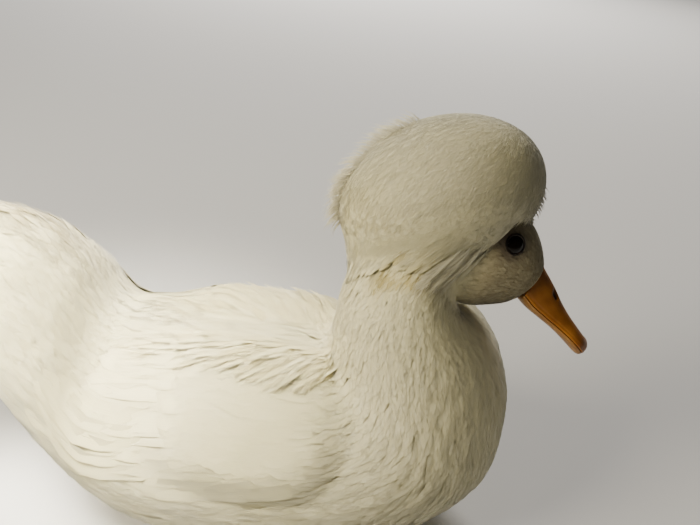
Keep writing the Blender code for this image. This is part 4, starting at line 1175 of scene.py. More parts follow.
def clear_of_body(tree, points, off):
    """Moves points that lie in the head or neck, or nearer than off, out to just over the skin."""
    moved_points = points.copy()
    depth = np.zeros(points.shape[:-1])
    for index in np.ndindex(points.shape[:-1]):
        place = Vector(points[index])
        near, normal, _, distance = tree.find_nearest(place)
        inside = (place - near).dot(normal) < 0
        if inside or distance < off[index]:
            moved_points[index] = near + normal * off[index]
            depth[index] = distance if inside else 0.0
    return moved_points, depth


# The globe's vanes: spacing, length, width and thickness, and how near the eyes' axis they come.
CREST_SPACING = 0.0029
CREST_LENGTH = 0.020
CREST_WIDTH = 0.0056
CREST_THICKNESS = 0.00014
CREST_EYE_GAP = 0.0098
# The fine barbs over them, and the reach of the down under them as a share of the dome's.
CREST_BARBS = 17500
CREST_BARB_LENGTH = 0.0125
CREST_BARB_EYE_GAP = 0.0094
DOWN_REACH = 0.925
CREST_SHARES = np.array((0.0, 0.22, 0.48, 0.72, 0.90, 1.0))
CREST_OUTLINE = np.array((0.34, 0.86, 1.00, 0.80, 0.44))


def crest_tint(rng, points, polar):
    low = smooth_step((polar - math.radians(105)) / math.radians(30))
    return mixed(base_tint(rng, points), STAIN, 0.30 * low * rng.uniform(0.4, 1.0, len(points)))


def off_eyes(points):
    """How far points lie from the line through both eyes."""
    local = in_head(points)
    return np.hypot(local[..., 0] - EYE_CENTRE[0], local[..., 2] - EYE_CENTRE[2])


def spread_on_dome(rng, spacing, furthest):
    """Angles of places spread evenly over the dome, closer together by the parting."""
    ways = unit(rng.normal(size=(int(40000 * (0.0027 / spacing) ** 2), 3)))
    polar, around = dome_angles(ways)
    points, _ = dome_point(polar, around, np.ones(len(polar)))
    chosen = thin_out(points, spacing * (0.66 + 0.34 * smooth_step(polar / 0.9)))
    chosen = chosen[polar[chosen] < furthest]
    return polar[chosen], around[chosen]


def make_crest(finish, tree):
    """The globe: soft vanes laid close round the dome from the parting, each layer over the next one out."""
    rng = np.random.default_rng(41)
    polar, around = spread_on_dome(rng, CREST_SPACING, math.radians(176))
    length = CREST_LENGTH * rng.uniform(0.8, 1.2, len(polar)) * (0.35 + 0.65 * smooth_step(polar / 0.8))
    sweep = length / CREST_RADIUS
    swirl = rng.normal(0.0, 0.08, len(polar)) / np.maximum(np.sin(polar), 0.3)
    lift = rng.uniform(-0.003, 0.003, len(polar))
    rows = []
    for share in CREST_SHARES:
        at = np.maximum(polar - sweep * (1 - share), 0.01)
        reach = 1.0 - 0.024 * (1 - share) - 0.056 * (1 - share) ** 4 + lift * share
        rows.append(dome_point(at, around + swirl * share * 0.3, reach))
    paths, normals = stack_rows(rows)
    off = np.broadcast_to(0.0004 + 0.0014 * CREST_SHARES, paths.shape[:2])
    paths, depth = clear_of_body(tree, paths, off)
    kept = (depth[:, :4].max(axis=1) < 0.0005) & (depth.max(axis=1) < 0.006)
    kept &= off_eyes(paths[:, 2:]).min(axis=1) > CREST_EYE_GAP
    paths, normals, polar, around = paths[kept], normals[kept], polar[kept], around[kept]
    width = CREST_WIDTH * rng.uniform(0.8, 1.2, len(polar)) * (0.45 + 0.55 * smooth_step(polar / 0.9))
    tints = crest_tint(rng, paths[:, -1], polar)
    coat = Coat()
    roots = crest_unwrap(polar, around)
    grow(coat, rng, paths, normals, width, CREST_SHARES, CREST_OUTLINE, roots, tints,
         CREST_THICKNESS, 6, 0.22)
    made = coat.build("crest_feathers", finish, "crest_plumage")
    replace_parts(made, "crest")


def make_crest_barbs(finish, tree):
    """Fine barbs that lie close over the globe's vanes from the parting down, and give it its silky face."""
    rng = np.random.default_rng(43)
    k = np.arange(CREST_BARBS) + 0.5
    polar = np.arccos(1 - 2 * k / CREST_BARBS) + rng.normal(0, 0.012, CREST_BARBS)
    around = (k * math.pi * (3 - math.sqrt(5))) % (2 * math.pi)
    polar, around = polar[polar < 3.07], around[polar < 3.07]
    length = CREST_BARB_LENGTH * rng.uniform(0.6, 1.4, len(polar)) * (0.45 + 0.55 * smooth_step(polar / 0.8))
    swirl = rng.normal(0.0, 0.05, len(polar)) / np.maximum(np.sin(polar), 0.3)
    high = rng.uniform(-0.003, 0.003, len(polar))
    rings = []
    for share in BARB_SHARES:
        at = np.maximum(polar - length / CREST_RADIUS * (1 - share), 0.01)
        reach = 1.004 + high * share - 0.010 * (1 - share) ** 2
        point, normal = dome_point(at, around + swirl * share, reach)
        rings.append(point)
    rings = np.stack(rings, axis=1)
    rings, depth = clear_of_body(tree, rings, np.full(rings.shape[:2], 0.0012))
    kept = (depth.max(axis=1) < 0.0005) & (off_eyes(rings).min(axis=1) > CREST_BARB_EYE_GAP)
    rings, normal, polar, around = rings[kept], normal[kept], polar[kept], around[kept]
    tints = crest_tint(rng, rings[:, 1], polar) * rng.uniform(0.93, 1.05, (len(polar), 1))
    coat = Coat()
    strands(coat, rings, normal, BARB_THICKNESS, crest_unwrap(polar, around), tints)
    coat.build("crest_barbs", finish, "crest_plumage")


def rim_of_crest():
    """For angles round the neck, the station where the body's surface comes out from under the globe."""
    angles = np.radians(np.linspace(-124, 124, 125))
    stations = np.linspace(12.0, BODY_END, 321)
    points = body_point(stations[None], angles[:, None])
    inside = np.linalg.norm(in_dome(points), axis=-1) < 1.0
    first = np.argmax(inside, axis=1)
    found = inside.any(axis=1)
    return angles[found], stations[first[found]]


def hanging(tree, v, climb, drop, raised, width):
    """Feathers from the globe's lower half down over the neck and cheeks, at angles v round the neck.

    Gives the paths, normals, widths and roots of those that leave the eyes clear, and which ones they are."""
    angles, stations = rim_of_crest()
    u = np.interp(v, angles, stations)
    rim = body_point(u, v)
    polar, around = dome_angles(unit(in_dome(rim)))
    start, start_normal = dome_point(np.maximum(polar - climb, 0.2), around, np.full(len(v), 0.985))
    turn, turn_normal = dome_point(np.maximum(polar - climb * 0.45, 0.2), around, np.full(len(v), 1.010))
    end_u = np.minimum(u - 0.15, u + (np.interp(np.abs(np.degrees(v)), *CREASE) - u) * drop)
    end = body_point(end_u, v)
    _, _, end_normal = body_tangents(end_u, v)
    end = end + end_normal * 0.0006
    rows = []
    for share in CREST_SHARES:
        a, b, c = (1 - share) ** 2, 2 * share * (1 - share), share * share
        bow = turn + (rim - turn) * 0.55 + (turn_normal + end_normal) * 0.5 * raised[:, None]
        normal = unit(start_normal * a + turn_normal * b * 0.5 + end_normal * (c + b * 0.5))
        rows.append((start * a + bow * b + end * c, normal))
    paths, normals = stack_rows(rows)
    local = in_dome(paths)
    reach = np.linalg.norm(local, axis=-1)
    least = np.interp(CREST_SHARES, (0.0, 0.22, 0.48, 1.0), (0.985, 1.003, 1.007, 1.008))
    paths = moved(CREST_FRAME, local * np.maximum(least / reach, 1.0)[..., None] * DOME)
    on_dome = (1 - smooth_step((reach - 1.01) / 0.14))[..., None]
    dome_normals = unit(local / DOME) @ np.array(CREST_FRAME)[:3, :3].T
    normals = unit(dome_normals * on_dome + normals * (1 - on_dome))
    off = np.broadcast_to(0.0003 + 0.0004 * CREST_SHARES, paths.shape[:2])
    paths, _ = clear_of_body(tree, paths, off)
    kept = off_eyes(paths).min(axis=1) > NAPE_EYE_GAP
    return paths[kept], normals[kept], width[kept], crest_unwrap(polar, around)[kept], kept


def nape_tint(rng, paths, v, climb):
    """Cream, with an olive pit low on each side, a faint yellow line forward from it, and painted shade low
    among the cheek tufts.
    """
    low = np.degrees(np.abs(v))
    share = 0.80 * hump(low, PIT_ANGLE, 5) + 0.35 * hump(low, 60, 14)
    share = share * smooth_step((0.50 - climb) / 0.25) * rng.uniform(0.6, 1.0, len(paths))
    colour = mixed(base_tint(rng, paths[:, 3]), STAIN, share)
    # Painted shade in the gaps among the cheek tufts.
    gaps = hump(low, 88, 13) * smooth_step((0.45 - climb) / 0.25)
    return mixed(colour, SHADED, 0.60 * gaps * rng.uniform(0.3, 1.0, len(paths)))


def nape_draws(rng, count, climbs, power, shorter, frayed, raises):
    """Angles round the neck, climbs up the globe, reaches down from it and heights of the bow over it."""
    v = np.radians(rng.uniform(-NAPE_END, NAPE_END, count))
    climb = 0.05 + climbs * rng.uniform(0.0, 1.0, count) ** power
    reach = 1.0 - 0.45 * climb * rng.uniform(*shorter, count) + rng.normal(0, frayed, count)
    reach = reach - 0.55 * hump(np.degrees(np.abs(v)), PIT_ANGLE, 4.5)
    reach = np.where(np.abs(v) > math.radians(70), reach * 0.55, reach)
    return v, climb, reach, np.interp(np.abs(v), np.radians((0, 30, 70, NAPE_END)), raises)


def make_nape(finish, tree):
    """Long soft feathers that carry the globe's surface down into the neck, and pale tufts by the cheeks."""
    rng = np.random.default_rng(51)
    coat = Coat()
    raises = (0.0042, 0.0070, 0.0050, 0.0012)
    v, climb, reach, raised = nape_draws(rng, NAPE_VANES, 1.15, 1.8, (0.6, 1.2), 0.12, raises)
    raised = raised * rng.uniform(0.85, 1.05, len(v))
    width = NAPE_WIDTH * rng.uniform(0.8, 1.2, len(v))
    paths, normals, width, roots, kept = hanging(tree, v, climb, reach, raised, width)
    tints = nape_tint(rng, paths, v[kept], climb[kept])
    grow(coat, rng, paths, normals, width, CREST_SHARES, CREST_OUTLINE, roots, tints, 0.00010, 0)
    raises = (0.0046, 0.0076, 0.0055, 0.0016)
    v, climb, reach, raised = nape_draws(rng, NAPE_BARBS, 1.20, 1.5, (0.5, 1.3), 0.16, raises)
    paths, normals, _, roots, kept = hanging(tree, v, climb, reach, raised, raised)
    tints = nape_tint(rng, paths, v[kept], climb[kept]) * rng.uniform(0.93, 1.05, (len(paths), 1))
    first, rows = rng.integers(0, 4, len(paths)), np.arange(len(paths))
    rings = np.stack([paths[rows, first + i] for i in range(3)], axis=1)
    strands(coat, rings, normals[rows, first + 1], BARB_THICKNESS, roots, tints)
    for sign in (-1.0, 1.0):
        add_cheek_tufts(coat, rng, tree, sign)
    coat.build("nape_feathers", finish, "crest_plumage")


def add_cheek_tufts(coat, rng, tree, sign, tufts=9, count=150):
    """Bright narrow feathers in tufts from the globe's lower edge down behind one cheek."""
    tuft = rng.integers(0, tufts, count)
    middle = 74 + 3.4 * np.arange(tufts) + rng.uniform(-1.2, 1.2, tufts)
    close = np.radians(middle[tuft] + rng.normal(0, 0.9, count)) * sign
    climb = rng.uniform(0.06, 0.30, count)
    reach = (1.9 + 0.5 * np.sin(tuft * 2.1)) * rng.uniform(0.75, 1.1, count)
    raised = np.full(count, CHEEK_RISE) * rng.uniform(0.5, 1.25, count)
    width = CHEEK_WIDTH * rng.uniform(0.7, 1.2, count)
    paths, normals, width, roots, _ = hanging(tree, close, climb, reach, raised, width)
    tints = mixed(np.tile(IVORY, (len(paths), 1)), DUSKY, 0.5 * rng.uniform(0, 1, len(paths)) ** 3)
    grow(coat, rng, paths, normals, width, CREST_SHARES, CREST_OUTLINE, roots, tints, barbs=10, reach=0.26)


PLUME_BUNCHES = 7
# Loose plumes at the globe's edge: angles from and round the parting, spread of both, count, rise, reach.
LOOSE_PLUMES = (
    ((100, -172), (36, 9), 30, 0.0008, 0.0130),
    ((98, 166), (36, 14), 28, 0.0008, 0.0120),
    ((60, -20), (9, 12), 6, 0.0006, 0.0050),
    ((60, 20), (9, 12), 6, 0.0006, 0.0050),
)


def make_loose_plumes(finish):
    """Thin plumes that stand a little off the globe, with long separate barbs along both edges."""
    rng = np.random.default_rng(61)
    coat = Coat()
    for (polar_mid, around_mid), (polar_spread, around_spread), count, rise, reach in LOOSE_PLUMES:
        polar = np.radians(polar_mid + polar_spread * rng.uniform(-1, 1, count))
        around = np.radians(around_mid + around_spread * rng.uniform(-1, 1, count))
        length = rng.uniform(0.014, 0.021, count)
        rows = []
        for share in CREST_SHARES:
            lift = 1.0 - 0.04 * (1 - share) + rise / 0.043 * math.sin(math.pi * min(share, 0.75)) * share
            at = polar + length / CREST_RADIUS * (share - 0.6)
            rows.append(dome_point(at, around, np.full(count, lift)))
        shafts, normals = stack_rows(rows)
        tints = mixed(base_tint(rng, shafts[:, 2]), DUSKY, rng.uniform(0.15, 0.55, count))
        roots = crest_unwrap(polar, around)
        slim = np.full(count, 0.0012)
        grow(coat, rng, shafts, normals, slim, CREST_SHARES, CREST_OUTLINE, roots, tints, 0.00012, 0)
        for bunch in range(PLUME_BUNCHES):
            middle = 0.22 + 0.76 * (bunch + rng.uniform(0, 1, count)) / PLUME_BUNCHES
            add_plume_bunch(coat, rng, (shafts, normals), middle, reach, roots, tints)
    coat.build("loose_plumes", finish, "crest_plumage")


def add_plume_bunch(coat, rng, plumes, middle, reach, roots, tints):
    """Six barbs that leave each plume's shaft near one place, three to each hand."""
    shafts, normals = plumes
    count = len(shafts)
    rows = np.arange(count)
    splay = rng.uniform(0.1, 0.6, count)[:, None]
    droop = rng.uniform(0.05, 0.30, count)[:, None]
    long = reach * rng.uniform(0.45, 1.15, count) * (1.1 - 0.4 * middle)
    for i in range(6):
        place = np.clip(middle + 0.014 * (i // 2 - 1.5), 0.0, 0.98)
        at, k = along_paths(shafts, CREST_SHARES, place)
        forward = unit(shafts[rows, k + 1] - shafts[rows, k])
        normal = normals[rows, k]
        side = unit(np.cross(normal, forward)) * (1.0 if i % 2 else -1.0)
        way = unit(forward * 0.35 + side * splay + normal * 0.85)
        bend = forward * (0.42 - 0.03 * (i // 2)) - normal * droop
        wisps(coat, at, way, bend, normal, long * rng.uniform(0.7, 1.0, count), 0.00009, roots, tints)


def make_crest_down(finish):
    """The felted down that fills the globe under its feathers, pulled in beside the eyes."""
    polar, around = np.linspace(0, 180, 61), np.linspace(0, 360, 97)
    polar, around = np.meshgrid(np.radians(polar), np.radians(around), indexing="ij")
    points, _ = dome_point(polar, around, np.full(polar.shape, DOWN_REACH))
    near_eye = 1 - smooth_step((off_eyes(points) - 0.0075) / 0.0065)
    points, _ = dome_point(polar, around, DOWN_REACH - 0.40 * near_eye)
    rows, columns = polar.shape
    uv = crest_unwrap(polar, around)
    index = np.arange(rows * columns).reshape(rows, columns)
    faces, corners = [], []
    for i in range(rows - 1):
        for j in range(columns - 1):
            k = (j + 1) % (columns - 1)
            quad = [(index[i, j], uv[i, j]), (index[i + 1, j], uv[i + 1, j])]
            quad += [(index[i + 1, k], uv[i + 1, j + 1]), (index[i, k], uv[i, j + 1])]
            if i == 0:
                quad = [(index[0, 0], uv[0, j]), quad[1], quad[2]]
            elif i == rows - 2:
                quad = [quad[0], (index[rows - 1, 0], uv[rows - 1, j]), quad[3]]
            faces.append([corner[0] for corner in quad])
            corners.append([corner[1] for corner in quad])
    made = mesh_piece("crest_down", points.reshape(-1, 3), faces, finish)
    put_corners(made.data, corners)
    put_tint(made.data, base_tint(np.random.default_rng(32), points.reshape(-1, 3)))
    mend(made)


FLIGHT_SHARES = np.array((0.0, 0.12, 0.30, 0.50, 0.70, 0.86, 0.95, 1.0))
FLIGHT_OUTLINE = np.array((0.45, 0.78, 0.96, 1.00, 0.98, 0.84, 0.56))
POINTED_OUTLINE = np.array((0.45, 0.80, 1.00, 0.96, 0.76, 0.46, 0.24))
# The scapulars: feathers in each layer, bunches, the stretch of the back that they hang from, and their
# widths by layer.
SCAPULARS_EACH = 90
SCAPULAR_BUNCHES = 18
SCAPULAR_SPAN = (-0.036, 0.062)
SCAPULAR_WIDTHS = (0.0062, 0.0050, 0.0044)
# Long wing feathers in the flank map: count, first and last root, first and last tip, width, and their
# heights over the body at the root, middle and tip in millimetres. The primaries come first.
FLIGHT_ROWS = (
    (8, (-0.036, 0.062), (-0.040, 0.088), (-0.096, 0.052), (-0.100, 0.088), 0.0120, (0.5, 2.0, 1.2)),
    (10, (-0.010, 0.053), (0.028, 0.088), (-0.084, 0.058), (-0.052, 0.101), 0.0130, (2.0, 4.4, 2.4)),
    (12, (0.000, 0.045), (0.042, 0.082), (-0.052, 0.052), (-0.012, 0.097), 0.0120, (3.0, 6.0, 4.4)),
    (5, (-0.004, 0.028), (0.004, 0.046), (-0.080, 0.024), (-0.086, 0.048), 0.0150, (3.0, 6.0, 3.2)),
)


def over_side(u, v, side, height):
    """Points at heights over the body on one side, and the plumage's normals there."""
    _, _, normal = body_tangents(u, v * side)
    return body_point(u, v * side) + normal * height[:, None], outer_normal(u, v * side)


def make_flight(side_name, side, finish):
    """The long feathers of the folded wing, tier over tier, behind and under its coverts."""
    rng = np.random.default_rng(81 if side > 0 else 82)
    coat = Coat()
    for row, (count, first_root, last_root, first_tip, last_tip, width, heights) in enumerate(FLIGHT_ROWS):
        share = np.linspace(0, 1, count)[:, None]
        root = np.array(first_root) * (1 - share) + np.array(last_root) * share
        tip = np.array(first_tip) * (1 - share) + np.array(last_tip) * share
        if row == 0:
            tip[:, 0] -= 0.006 * np.sin(math.pi * np.minimum(share[:, 0] + 0.1, 1.0))
        tip = tip + rng.uniform(-1, 1, tip.shape) * (0.0016, 0.0006)
        low, middle, high = heights
        rows = []
        for step in FLIGHT_SHARES:
            bow = 0.03 * math.sin(math.pi * step) * (tip[:, 0] - root[:, 0])
            x = root[:, 0] + (tip[:, 0] - root[:, 0]) * step
            u, v = flank_place(x, root[:, 1] + (tip[:, 1] - root[:, 1]) * step - bow)
            height = np.interp(step, (0.0, 0.25, 0.7, 1.0), (low, middle, middle, high)) * 0.001
            lift = np.minimum(height, wing_rise(u, v) + 0.0012 - 0.0009 * step)
            rows.append(over_side(u, v, side, lift + 0.0001 * np.arange(count)[::-1]))
        paths, normals = stack_rows(rows)
        u, v = flank_place(root[:, 0], root[:, 1])
        tints = base_tint(rng, paths[:, 3], 0.02)
        widths = width * rng.uniform(0.95, 1.05, count)
        roots = body_unwrap(u, v * side)
        grow(
            coat, rng, paths, normals, widths, FLIGHT_SHARES, FLIGHT_OUTLINE, roots, tints,
            thickness=0.0003, barbs=16, reach=0.07, cup=0.03,
        )
    made = coat.build("flight_feathers_" + side_name, finish, "wing_plumage")
    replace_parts(made, "wing_" + side_name)


def make_scapulars(side_name, side, finish):
    """The soft mass that hangs from the back over the wing, with loose pointed tips along its lower edge."""
    rng = np.random.default_rng(85 if side > 0 else 86)
    coat = Coat()
    count, start, reach = SCAPULARS_EACH, SCAPULAR_SPAN[0], SCAPULAR_SPAN[1] - SCAPULAR_SPAN[0]
    for layer, broad in enumerate(SCAPULAR_WIDTHS):
        bunch = rng.integers(0, SCAPULAR_BUNCHES, count)
        if layer == 0:
            x = rng.uniform(*SCAPULAR_SPAN, count)
        else:
            x = start + reach * (bunch + rng.normal(0.5, 0.16, count)) / SCAPULAR_BUNCHES
        edge = np.interp(x, (-0.050, -0.020, 0.020, 0.062), (0.010, 0.009, 0.006, 0.003)) + 0.004 * layer
        root_drop = edge * rng.uniform(0.6, 1.4, count)
        long = (0.030 + 0.006 * (layer - 1)) * rng.uniform(0.85, 1.15, count)
        slant = np.interp(x, (-0.036, 0.0, 0.045), (0.10, 0.32, 0.75)) + 0.08 * np.sin(bunch * 2.4)
        slant = slant + rng.normal(0, 0.02, count)
        loose = 0.0022 * (np.sin(bunch * 3.7) > 0.3) * rng.uniform(0.4, 1.0, count)
        rows = []
        for share in FLIGHT_SHARES:
            lead = x - long * share * np.cos(slant)
            fall = root_drop + long * share * np.sin(slant)
            u, v = flank_place(lead, fall)
            rise = (0.0005 + 0.0004 * layer) * smooth_step(share / 0.7)
            lifted = loose * smooth_step((share - 0.45) / 0.55)
            height = wing_rise(u, v) - 0.0014 * (1 - share) + rise + lifted
            rows.append(over_side(u, v, side, height))
        paths, normals = stack_rows(rows)
        u, v = flank_place(x, root_drop)
        tints = mixed(base_tint(rng, paths[:, 3]), STAIN, rng.uniform(0.0, 0.30, count))
        widths = broad * rng.uniform(0.7, 1.2, count)
        roots = body_unwrap(u, v * side)
        grow(
            coat, rng, paths, normals, widths, FLIGHT_SHARES, POINTED_OUTLINE, roots, tints,
            barbs=22, reach=0.15, cup=0.04,
        )
    coat.build("scapulars_" + side_name, finish, "wing_plumage")


def make_tail(finish):
    """The raised tail: twelve quills in a fan with the middle pair on top, under and over coverts."""
    rng = np.random.default_rng(91)
    turn = Matrix.Rotation(math.pi, 4, "Z") @ Matrix.Rotation(-TAIL_RISE, 4, "Y")
    place = Matrix.Translation(TAIL_ROOT) @ turn
    up = np.array(place)[:3, :3] @ np.array((0, 0, 1.0))
    coat = Coat()

    def fan(count, spread, aside, start, end, shorten, width, level, thickness):
        k = np.arange(count) - (count - 1) / 2
        paths = []
        for step in FLIGHT_SHARES:
            reach = start + (end - shorten * k * k - start) * step
            x, y = reach * np.cos(k * spread), aside * k + reach * np.sin(k * spread)
            paths.append(np.stack([x, y, level(x, y, k)], axis=1))
        paths = moved(place, np.stack(paths, axis=1))
        normals = np.broadcast_to(up, paths.shape)
        tints = coat_tint(rng, paths[:, 3], np.zeros(count), np.zeros(count))
        roots = np.stack([0.5 + k * 0.02, np.full(count, 0.5 + start)], axis=1)
        widths = np.full(count, width)
        grow(
            coat, rng, paths, normals, widths, FLIGHT_SHARES, FLIGHT_OUTLINE, roots, tints,
            thickness, barbs=14, reach=0.07, cup=0.08,
        )

    def quill_level(x, y, k):
        return 0.0026 - np.abs(k) * 0.0011 + 0.06 * x - 2.2 * y * y

    fan(QUILLS, QUILL_SPREAD, 0.0021, 0.004, QUILL_END, 0.0006, QUILL_WIDTH, quill_level, 0.0005)
    for layer in range(COVERT_LAYERS):
        end, high = 0.056 - 0.006 * layer, 0.0046 + 0.0014 * layer
        for way, droop in ((1, 6.0), (-1, 2.2)):

            def covert_level(x, y, k, way=way, droop=droop, high=high):
                return way * (high + 0.0004 * np.cos(k * 3)) + 0.06 * x - droop * y * y

            count = 11 + layer % 2
            fan(count, COVERT_SPREAD, 0.0030, -0.006, end, 0.0004, COVERT_WIDTH, covert_level, 0.0003)
    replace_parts(coat.build("tail_feathers", finish, "tail_plumage"), "tail")


def bill_matrix():
    top, bottom, _ = HEAD_SECTIONS[-1]
    middle = Vector(((top[0] + bottom[0]) / 2, 0, (top[1] + bottom[1]) / 2))
    return HEAD @ Matrix.Translation(middle) @ Matrix.Rotation(BILL_DROOP, 4, "Y")


def bill_base_x(z):
    top, bottom, _ = HEAD_SECTIONS[-1]
    lean = math.atan2(top[0] - bottom[0], top[1] - bottom[1])
    return z * math.tan(lean - BILL_DROOP)


def bill_shape(x):
    """Culmen height, mouth line height and half width of the bill at x along it."""
    stations = [BILL_LENGTH * share for share in (0.0, 0.19, 0.37, 0.56, 0.74, 0.89, 0.96, 1.0)]
    culmen = (0.0108, 0.0085, 0.0058, 0.0036, 0.0024, 0.0014, 0.0002, -0.0014)
    mouth = (-0.0052, -0.0058, -0.0054, -0.0048, -0.0046, -0.0048, -0.0050, -0.0050)
    width = (0.0112, 0.0104, 0.0098, 0.0103, 0.0114, 0.0104, 0.0074, 0.0036)
    return profile(x, stations, culmen), profile(x, stations, mouth), profile(x, stations, width)


def bill_mesh(name, count, inset, section, finish, replaced):
    """One half of the bill as a fine loft, with its nostrils sunk where it has them."""
    angles = np.arange(BILL_AROUND) * 2 * math.pi / BILL_AROUND
    stations = np.sin(np.linspace(0, 1, count) * math.pi / 2) ** 0.9
    rings, tones = [], []
    for x in (BILL_LENGTH - inset) * stations:
        y, z, tone = section(x, angles, *bill_shape(x))
        lean = (1 - smooth_step(x / 0.020)) * bill_base_x(z)
        rings.append(np.stack([x + lean, y, z], axis=1))
        tones.append(tone)
    rings = np.array(rings)
    rows, columns = rings.shape[:2]
    faces = [tuple(range(columns)), tuple(reversed(range((rows - 1) * columns, rows * columns)))]
    faces += ring_faces(rows, columns)
    made = mesh_piece(name, moved(bill_matrix(), rings.reshape(-1, 3)), faces, finish)
    put_tint(made.data, np.array(tones).reshape(-1, 3))
    mend(made)
    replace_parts(made, replaced)


def make_bill(upper_finish, lower_finish):
    def half(angles, half_width, edge, up, down):
        across, high = np.sin(angles), np.cos(angles)
        y = half_width * np.sign(across) * np.abs(across) ** 0.8
        return y, edge + np.where(high > 0, up, down) * high

    def tomium(x, mouth):
        return mouth - 0.0019 * float(1 - smooth_step(x / (0.92 * BILL_LENGTH)))

    def upper(x, angles, culmen, mouth, half_width):
        edge = tomium(x, mouth)
        y, z = half(angles, half_width, edge, culmen - edge, 0.0005)
        nail = math.exp(-(((x - BILL_LENGTH + 0.0034) / 0.0030) ** 2))
        z = z + 0.0009 * nail * np.exp(-((y / 0.0036) ** 2)) * (np.cos(angles) > 0)
        above = np.cos(angles) > 0.1
        spot = np.abs(y) - half_width * 0.60
        slit = (x - NOSTRIL_AT - 0.25 * spot) / 0.0024
        pit = np.exp(-(slit**4) - (spot / 0.0011) ** 2) * above
        swell = np.exp(-((slit / 1.9) ** 2) - (spot / 0.0026) ** 2) * above
        groove = 0.00022 * np.exp(-(((z - edge - 0.0014) / 0.0005) ** 2))
        y = y - np.sign(y) * groove
        edge_glow = np.exp(-(((z - edge) / 0.0009) ** 2))
        # The nostril pits are darkened as well as sunk: painted shade in their recesses.
        tone = 1 + 0.55 * edge_glow - 0.90 * np.clip(pit * 1.2, 0, 1)
        tip = smooth_step((x - 0.6 * BILL_LENGTH) / (0.4 * BILL_LENGTH))
        colour = np.stack([tone, tone * (1 - 0.05 * tip), tone], axis=1)
        return y, z + 0.0006 * swell - 0.0022 * pit, colour

    def lower(x, angles, culmen, mouth, half_width):
        deep = 0.0010 + 0.22 * (culmen - mouth) - (mouth - tomium(x, mouth)) * 0.9
        y, z = half(angles, half_width * 0.90, tomium(x, mouth) - 0.0007, 0.0005, max(deep, 0.0006))
        return y, z, np.full((len(angles), 3), 0.85)

    bill_mesh("bill_upper_horn", 150, 0.0, upper, upper_finish, "bill_upper")
    bill_mesh("bill_lower_horn", 60, 0.0022, lower, lower_finish, "bill_lower")


def eye_matrix(sign):
    x, y, z = EYE_CENTRE
    outward = Vector((0.24, sign, 0.20)).normalized()
    return HEAD @ Matrix.Translation((x, sign * y, z)) @ outward.to_track_quat("Z", "Y").to_matrix().to_4x4()


def make_eyes(eye_finish, lid_finish):
    """A dark wet eye in each socket, with a fleshy rim that is heavier above."""
    for side_name, sign in SIDES:
        edit = bmesh.new()
        bmesh.ops.create_uvsphere(edit, u_segments=48, v_segments=32, radius=1.0)
        bmesh.ops.scale(edit, vec=(EYE_RADIUS, EYE_RADIUS, EYE_DEPTH), verts=edit.verts)
        bmesh.ops.transform(edit, matrix=eye_matrix(sign), verts=edit.verts)
        mesh = bpy.data.meshes.new("eyeball_" + side_name)
        edit.to_mesh(mesh)
        edit.free()
        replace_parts(link_piece("eyeball_" + side_name, mesh, eye_finish), "eye_" + side_name)
        make_lid(side_name, sign, lid_finish)


def make_lid(side_name, sign, finish, around=64, section=12):
    """The rim of one eye: a thin ring that is thicker and tighter above."""
    up = np.array(eye_matrix(sign).inverted().to_3x3() @ (HEAD.to_3x3() @ Vector((0, 0, 1))))
    points, faces = [], []
    for i in range(around):
        a = 2 * math.pi * i / around
        high = max(math.cos(a) * up[0] + math.sin(a) * up[1], 0.0)
        thick = LID_THICKNESS + 0.00035 * high
        centre = EYE_RADIUS * (0.99 - 0.05 * high)
        for j in range(section):
            b = 2 * math.pi * j / section
            r = centre + thick * math.cos(b)
            points.append((r * math.cos(a), r * math.sin(a), LID_LEVEL + thick * 0.9 * math.sin(b)))
            k, m = (i + 1) % around, (j + 1) % section
            faces.append((i * section + j, k * section + j, k * section + m, i * section + m))
    mesh_piece("eyelid_" + side_name, moved(eye_matrix(sign), points), faces, finish)
def tube(points, radii, around=16):
    """Rings round a path, closed with a cap on each end."""
    points, radii = np.asarray(points, float), np.asarray(radii, float)
    forward = unit(np.gradient(points, axis=0))
    side = unit(np.cross((0, 0, 1.0), forward))
    up = np.cross(forward, side)
    angle = np.arange(around) * 2 * math.pi / around
    ring = side[:, None] * np.cos(angle)[None, :, None] + up[:, None] * np.sin(angle)[None, :, None]
    rings = points[:, None] + ring * radii[:, None, None]
    last = (len(points) - 1) * around
    faces = [tuple(reversed(range(around))), tuple(range(last, last + around))]
    return rings.reshape(-1, 3), faces + ring_faces(len(points), around, 0, True)


